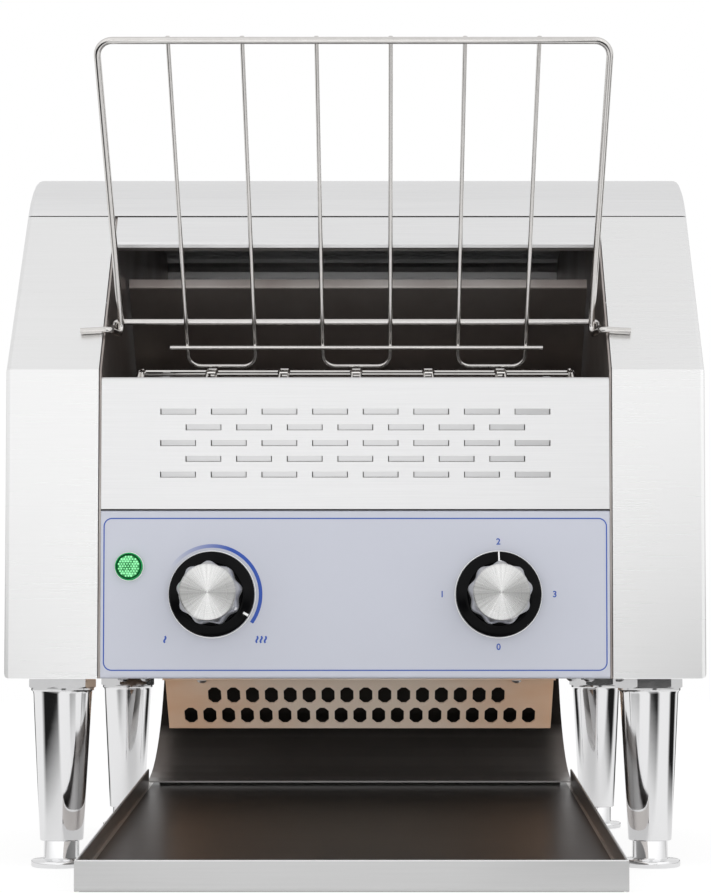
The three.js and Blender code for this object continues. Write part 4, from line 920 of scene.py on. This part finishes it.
crown = rounded_route([on_path(-RACK_HALF, KINK, 0), on_path(-RACK_HALF, -RACK_LENGTH, 0),
                       on_path(RACK_HALF, -RACK_LENGTH, 0), on_path(RACK_HALF, KINK, 0)], 8, 10)[1:-1]
weld_lift = 2 * THICK - SINK
curl = [[on_path(side * (RACK_HALF - 3), 0, weld_lift), on_path(side * (RACK_HALF + 3.9), 0, weld_lift),
         on_path(side * (RACK_HALF + 3.9), 0, -weld_lift)] for side in (-1, 1)]
foot_bar = rounded_route(curl[0][::-1] + curl[1], 3.1, 8)
thin_low, thin_high = THICK + THIN - SINK - weld_lift, THICK + THIN - SINK
WIRE_PITCH, LOOP_REACH = 36.9, 25
thin_x = [WIRE_PITCH * (i - 2.5) for i in range(6)]
loops = []
for left, right in zip(thin_x[::2], thin_x[1::2]):
    corners = (left, 0), (left, LOOP_REACH), (right, LOOP_REACH), (right, 0)
    bend = rounded_route([on_path(x, run, thin_low) for x, run in corners], 7, 8)
    ends = [on_path(x, -RACK_LENGTH - THIN, thin_high) for x in (left, right)]
    loops.append([ends[0], *bend, ends[1]])
bar_lift = thin_low - 2 * THIN + SINK
cross_bar = [on_path(side * BAR_HALF, BAR_RUN, bar_lift) for side in (-1, 1)]
print(len(loops), "loops of thin wire")

# %% Rack piece


def bead(centre, reach, lift):
    """A weld: a flattened drop, longer along the wire."""
    drop = lathe([(0, -1), (0.6, -0.8), (0.95, -0.3), (1, 0), (0.95, 0.3), (0.6, 0.8), (0, 1)], 12)
    turn = Matrix.Rotation(-RACK_ANGLE, 4, "X")
    return moved(drop, Matrix.Translation(centre) @ turn @ Matrix.Diagonal((reach * 0.8, reach, lift, 1)))


beads = [bead(on_path(x, 0, THICK + 0.1), 1.9, 1.5) for x in thin_x]
beads += [bead(on_path(x, -RACK_LENGTH + 0.3, THICK), 1.5, 1.2) for x in thin_x]
beads += [bead(on_path(x, BAR_RUN, (thin_low + bar_lift) / 2), 1.5, 1.2) for x in thin_x]
beads += [bead(on_path(side * RACK_HALF, 0, THICK - 0.1), 2.4, 1.7) for side in (-1, 1)]
outer_wire = [*hook(-1), *crown, *hook(1)[::-1]]
wires = [sweep(outer_wire, THICK, 16), sweep(foot_bar, THICK, 16), sweep(cross_bar, THIN, 12)]
wires += [sweep(loop, THIN, 12) for loop in loops]
rack = make_piece("rack_wires", *joined(wires + beads), wire_chrome, "rack", "chrome")
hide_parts("feed_rack")
print(len(beads), "welds on the rack")

# %% [markdown]
# ## The wire belt
# A flat conveyor belt is woven from single wires. Each wire crosses the belt and steps forward to hook round
# the next one, and this happens at several places across the width. Every length along the loop has a point,
# so each wire is drawn flat first and then wrapped round the two shafts.

# %% Belt
BELT_RADIUS, BELT_WIRE = 17.75, 0.88
TOP_RUN, BOTTOM_RUN, SHAFT_DROP = 36.0, 196.0, 23.0
STRAIGHT = BOTTOM_RUN - TOP_RUN
ROUND = math.pi * BELT_RADIUS
BELT_LENGTH = 2 * (STRAIGHT + ROUND)


def on_belt(x, length, lift):
    length %= BELT_LENGTH
    radius = BELT_RADIUS + lift
    if length < STRAIGHT:
        return on_path(x, TOP_RUN + length, radius - SHAFT_DROP)
    if length < STRAIGHT + ROUND:
        turn = (length - STRAIGHT) / BELT_RADIUS
        return on_path(x, BOTTOM_RUN + radius * math.sin(turn), radius * math.cos(turn) - SHAFT_DROP)
    if length < 2 * STRAIGHT + ROUND:
        return on_path(x, BOTTOM_RUN - (length - STRAIGHT - ROUND), -radius - SHAFT_DROP)
    turn = (length - 2 * STRAIGHT - ROUND) / BELT_RADIUS
    return on_path(x, TOP_RUN - radius * math.sin(turn), -radius * math.cos(turn) - SHAFT_DROP)


belt_count = round(BELT_LENGTH / 9.0)
belt_pitch = BELT_LENGTH / belt_count
BELT_EDGE, HOOK_HALF = 117.4, 3.2
hook_shape = [(0.0, 0.0), (0.5, 0.5), (0.9, 1.06)]
belt_wires = []
for i in range(belt_count):
    line = []
    for place in (-BELT_EDGE, -78, -39, 0, 39, 78, BELT_EDGE):
        left, right = max(place - HOOK_HALF, -BELT_EDGE), min(place + HOOK_HALF, BELT_EDGE)
        rise = [(left + inward, ahead) for inward, ahead in hook_shape]
        fall = [(right - inward, ahead) for inward, ahead in hook_shape[::-1]]
        for x, ahead in rise + fall:
            weave = 0.55 if ahead > 1 else -0.25
            line.append(on_belt(x, i * belt_pitch + ahead * belt_pitch, weave))
    belt_wires.append(sweep(line, BELT_WIRE, 6))
belt = make_piece("belt_weave", *joined(belt_wires), wire_chrome, "chassis", "chrome")
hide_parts("conveyor_belt")
print(belt_count, "wires in the belt")

# %% [markdown]
# ## The tray's hem
# A cut edge of sheet is sharp, so the rim of the tray is rolled over by a hair. Its paler steel is a painted
# highlight that draws the bright line round the tray. It is one thin sweep that follows the walls and the lip.

# %% Hem
HEM, CUT = 0.62, 1.2
TRAY_HALF, LIP_Y, LIP_TOP = 129.5, FRONT - 103.35, 14.7
WALL_END_Y, WALL_END_TOP = FRONT + 177.6, 43.65


def hem_route(side):
    """Along one wall to the lip and round its corner."""
    edge, corner = side * TRAY_HALF, side * (TRAY_HALF - CUT)
    return [(edge, WALL_END_Y, WALL_END_TOP), (edge, LIP_Y + CUT, LIP_TOP), (corner, LIP_Y, LIP_TOP)]


hem_knots = hem_route(-1) + hem_route(1)[::-1]
make_piece("tray_hem", *sweep(hem_knots, HEM, 12), hem_highlight_steel, "tray", "tray_steel")
print("hem of", HEM, "mm radius round the tray")

# %% [markdown]
# ## Screws
# A cabinet like this is closed with pan-head screws. Their heads are domes with a cross recess. The head is a
# disc of rings and spokes, and every point inside the cross is pushed down to give the recess its walls.

# %% Screws


def screw_form():
    points, radius, rise, sides = [], 2.9, 1.9, 48
    reaches = [0.14, 0.24, 0.34, 0.46, 0.50, 0.62, 0.76, 0.88, 0.96, 1.0]
    for reach in reaches:
        dome = rise * (1 - reach ** 2.6 * 0.72)
        for x, y, _ in circle(reach, 0, sides):
            in_cross = reach < 0.48 and min(abs(x), abs(y)) < 0.11
            points.append(Vector((x * radius, y * radius, dome - (1.0 if in_cross else 0.0))))
    points += circle(radius, -0.2, sides)
    return points, stacked(len(reaches) + 1, sides)


REAR_FACE, BASE_FACE, FLANGE_FACE = 201.0, 100.0, 98.7
to_rear, to_floor = [Matrix.Rotation(turn, 4, "X") for turn in (-math.pi / 2, math.pi)]
screw_groups = [
    ("rear_screws", to_rear, [(side * 126, REAR_FACE, z) for side in (-1, 1) for z in (110, 190, 270, 345)]),
    ("fan_screws", to_rear, [(-58 + x * 35.7, REAR_FACE, 186 + z * 35.7) for x in (-1, 1) for z in (-1, 1)]),
    ("base_screws", to_floor, [(side * 125, y, BASE_FACE) for side in (-1, 1) for y in (-78, 20)]),
    ("chute_screws", to_floor, [(x, 170.5, FLANGE_FACE) for x in (-100, 0, 100)]),
    ("guard_screws", to_floor, [(x, 54, FLANGE_FACE) for x in (-95, 95)]),
]
for name, face, places in screw_groups:
    parts = []
    for i, place in enumerate(places):
        # Each screw is driven home at another angle.
        home = Matrix.Translation(place) @ face @ Matrix.Rotation(0.7 * i, 4, "Z")
        parts.append(moved(screw_form(), home))
    make_piece(name, *joined(parts), screw_steel, "chassis", "drive_steel")
print(sum(len(places) for _, _, places in screw_groups), "screws set")

# %% [markdown]
# ## The floor
# Catalogue pictures stand on white. The floor takes a soft shadow, and for the camera it is mixed with plain
# white light. Chrome needs something dark to reflect, so for mirror rays only the far floor turns dark in
# soft patches, the way a room beyond the table would.

# %% Floor
bpy.ops.mesh.primitive_plane_add(size=12)
floor = bpy.context.object
floor.name = "floor"
ground = Finish(bpy.data.materials.new("floor_white"))
ground.tree.nodes.clear()
rays = ground.tree.nodes.new("ShaderNodeLightPath")
seen, mirrored = [Reading(ground, rays.outputs[key]) for key in ("Is Camera Ray", "Is Glossy Ray")]
away = ground.node("ShaderNodeVectorMath", {"operation": "LENGTH"}, {0: ground.place()}, "Value")
around = ground.axis("X").angle_from(ground.axis("Y") * -1.0)
BRIGHT, TINGED, SHADED = (0, 0, 0, 1), (0.15, 0.15, 0.15, 1), (1, 1, 1, 1)


def dark_doors(finish, angle, doors):
    """Each door has four angles: it starts to fade in, is dark, is still dark and has faded out."""
    tones = BRIGHT, SHADED, SHADED, BRIGHT
    stops = [(turn / 360 + 0.5, tone) for door in doors for turn, tone in zip(door, tones)]
    return finish.ramp(angle * (0.5 / math.pi) + 0.5, *stops)


far_floor = ground.ramp(
    away * 0.25, (0.05, BRIGHT), (0.085, TINGED), (0.14, SHADED), (0.42, SHADED), (0.6, BRIGHT)
)
patches = dark_doors(ground, around, [
    (-160, -150, -138, -128), (-78, -66, -26, -20), (11, 16, 36, 44), (74, 82, 106, 116),
    (128, 138, 150, 160),
])
dark_share = ground.node("ShaderNodeMix", {"data_type": "FLOAT"}, {0: far_floor, 2: 0.0, 3: patches})
paper = ground.plain("ShaderNodeBsdfDiffuse", 0.92)
white = ground.plain("ShaderNodeEmission", 1.0, Strength=1.08)
room = ground.plain("ShaderNodeEmission", 0.012)
glow = ground.plain("ShaderNodeEmission", 0.96)
mirror = ground.blend(dark_share, ground.blend(0.6, paper, glow), room)
bright = ground.blend(seen * 0.82, paper, white)
whole = ground.blend(mirrored, bright, mirror)
ground.put(ground.tree.nodes.new("ShaderNodeOutputMaterial"), {"Surface": whole})
floor.data.materials.append(ground.owner)
print("floor laid")

# %% [markdown]
# ## The room and the softboxes
# The room is a pale world with a few dark doors near the horizon. A softbox adds its light to what lies
# behind it, so the front wall is dimmer at the height of the softboxes, and pale steel doesn't clip. The low
# softbox lights what is under the cabinet, and mirrors don't show it.

# %% Light
world = bpy.data.worlds.new("studio")
bpy.context.scene.world = world
sky = Finish(world)
sky.tree.nodes.clear()
sky_rays = sky.tree.nodes.new("ShaderNodeLightPath")
seen_sky = Reading(sky, sky_rays.outputs["Is Camera Ray"])
way = sky.node("ShaderNodeTexCoord", {}, {}, "Generated")
side, back, rise = [sky.node("ShaderNodeSeparateXYZ", {}, {0: way}, letter) for letter in "XYZ"]
ahead = sky.node("ShaderNodeMath", {"operation": "MAXIMUM"}, {0: back * -1.0, 1: 0.0})
about = side.angle_from(back * -1.0)
doors = dark_doors(sky, about, [(-162, -155, -140, -135), (2, 7, 18, 23), (138, 144, 158, 165)])
skyline = sky.ramp(rise + 0.5, (0.46, BRIGHT), (0.475, SHADED), (0.53, SHADED), (0.545, BRIGHT))
low_or_high = sky.ramp(rise, (0.10, SHADED), (0.30, BRIGHT), (0.74, BRIGHT), (0.90, (0.36, 0.36, 0.36, 1)))
open_wall = sky.mix(ahead * low_or_high, (0.79, 0.79, 0.79), (1.31, 1.31, 1.31))
low_wall = sky.mix(doors, (0.62, 0.62, 0.62), (0.03, 0.03, 0.03))
wall = sky.mix(skyline, open_wall, low_wall)
room_light = sky.node("ShaderNodeBackground", {}, {"Color": wall})
sky_mix = sky.blend(seen_sky, room_light, sky.plain("ShaderNodeBackground", 1.0))
sky.put(sky.tree.nodes.new("ShaderNodeOutputWorld"), {"Surface": sky_mix})


def softbox(name, place, target, size, power):
    lamp = bpy.data.lights.new(name, "AREA")
    lamp.shape, lamp.size, lamp.size_y, lamp.energy = "RECTANGLE", size[0], size[1], power
    holder = bpy.data.objects.new(name, lamp)
    bpy.context.scene.collection.objects.link(holder)
    holder.location = place
    holder.rotation_euler = (Vector(target) - Vector(place)).to_track_quat("-Z", "Y").to_euler()
    return holder


softbox("key_softbox", (-1.4, -1.8, 1.9), (0, 0, 0.2), (2.4, 2.4), 4)
softbox("fill_softbox", (1.6, -1.4, 1.5), (0, 0, 0.2), (2.2, 2.2), 4.4)
low = softbox("low_softbox", (0.0, -1.3, 0.09), (0, 0.05, 0.08), (0.9, 0.14), 4.2)
low.visible_glossy = False
print("three softboxes")

# %% [markdown]
# ## The camera
# A long lens stands a metre before the front, a little right of the middle and low, and looks slightly up.

# %% Camera
camera_data = bpy.data.cameras.new("camera")
camera = bpy.data.objects.new("camera", camera_data)
bpy.context.scene.collection.objects.link(camera)
bpy.context.scene.camera = camera
IMAGE_HEIGHT, FOCAL = 893, 1952 * 1.0035
PITCH, DISTANCE = math.radians(2.2), 1025
camera_data.sensor_width = 36.0
camera_data.lens = 36.0 * FOCAL / IMAGE_HEIGHT
camera_data.shift_x = -30.3 / IMAGE_HEIGHT
camera_data.shift_y = (228.2 - FOCAL * math.tan(PITCH)) / IMAGE_HEIGHT
camera_data.clip_start, camera_data.clip_end = 0.05, 50
camera.location = Vector((16, FRONT - DISTANCE, 102)) * MM
camera.rotation_euler = (math.pi / 2 + PITCH, 0, 0)
bpy.context.scene.view_settings.view_transform = "Standard"
print("lens", round(camera_data.lens, 2), "mm")
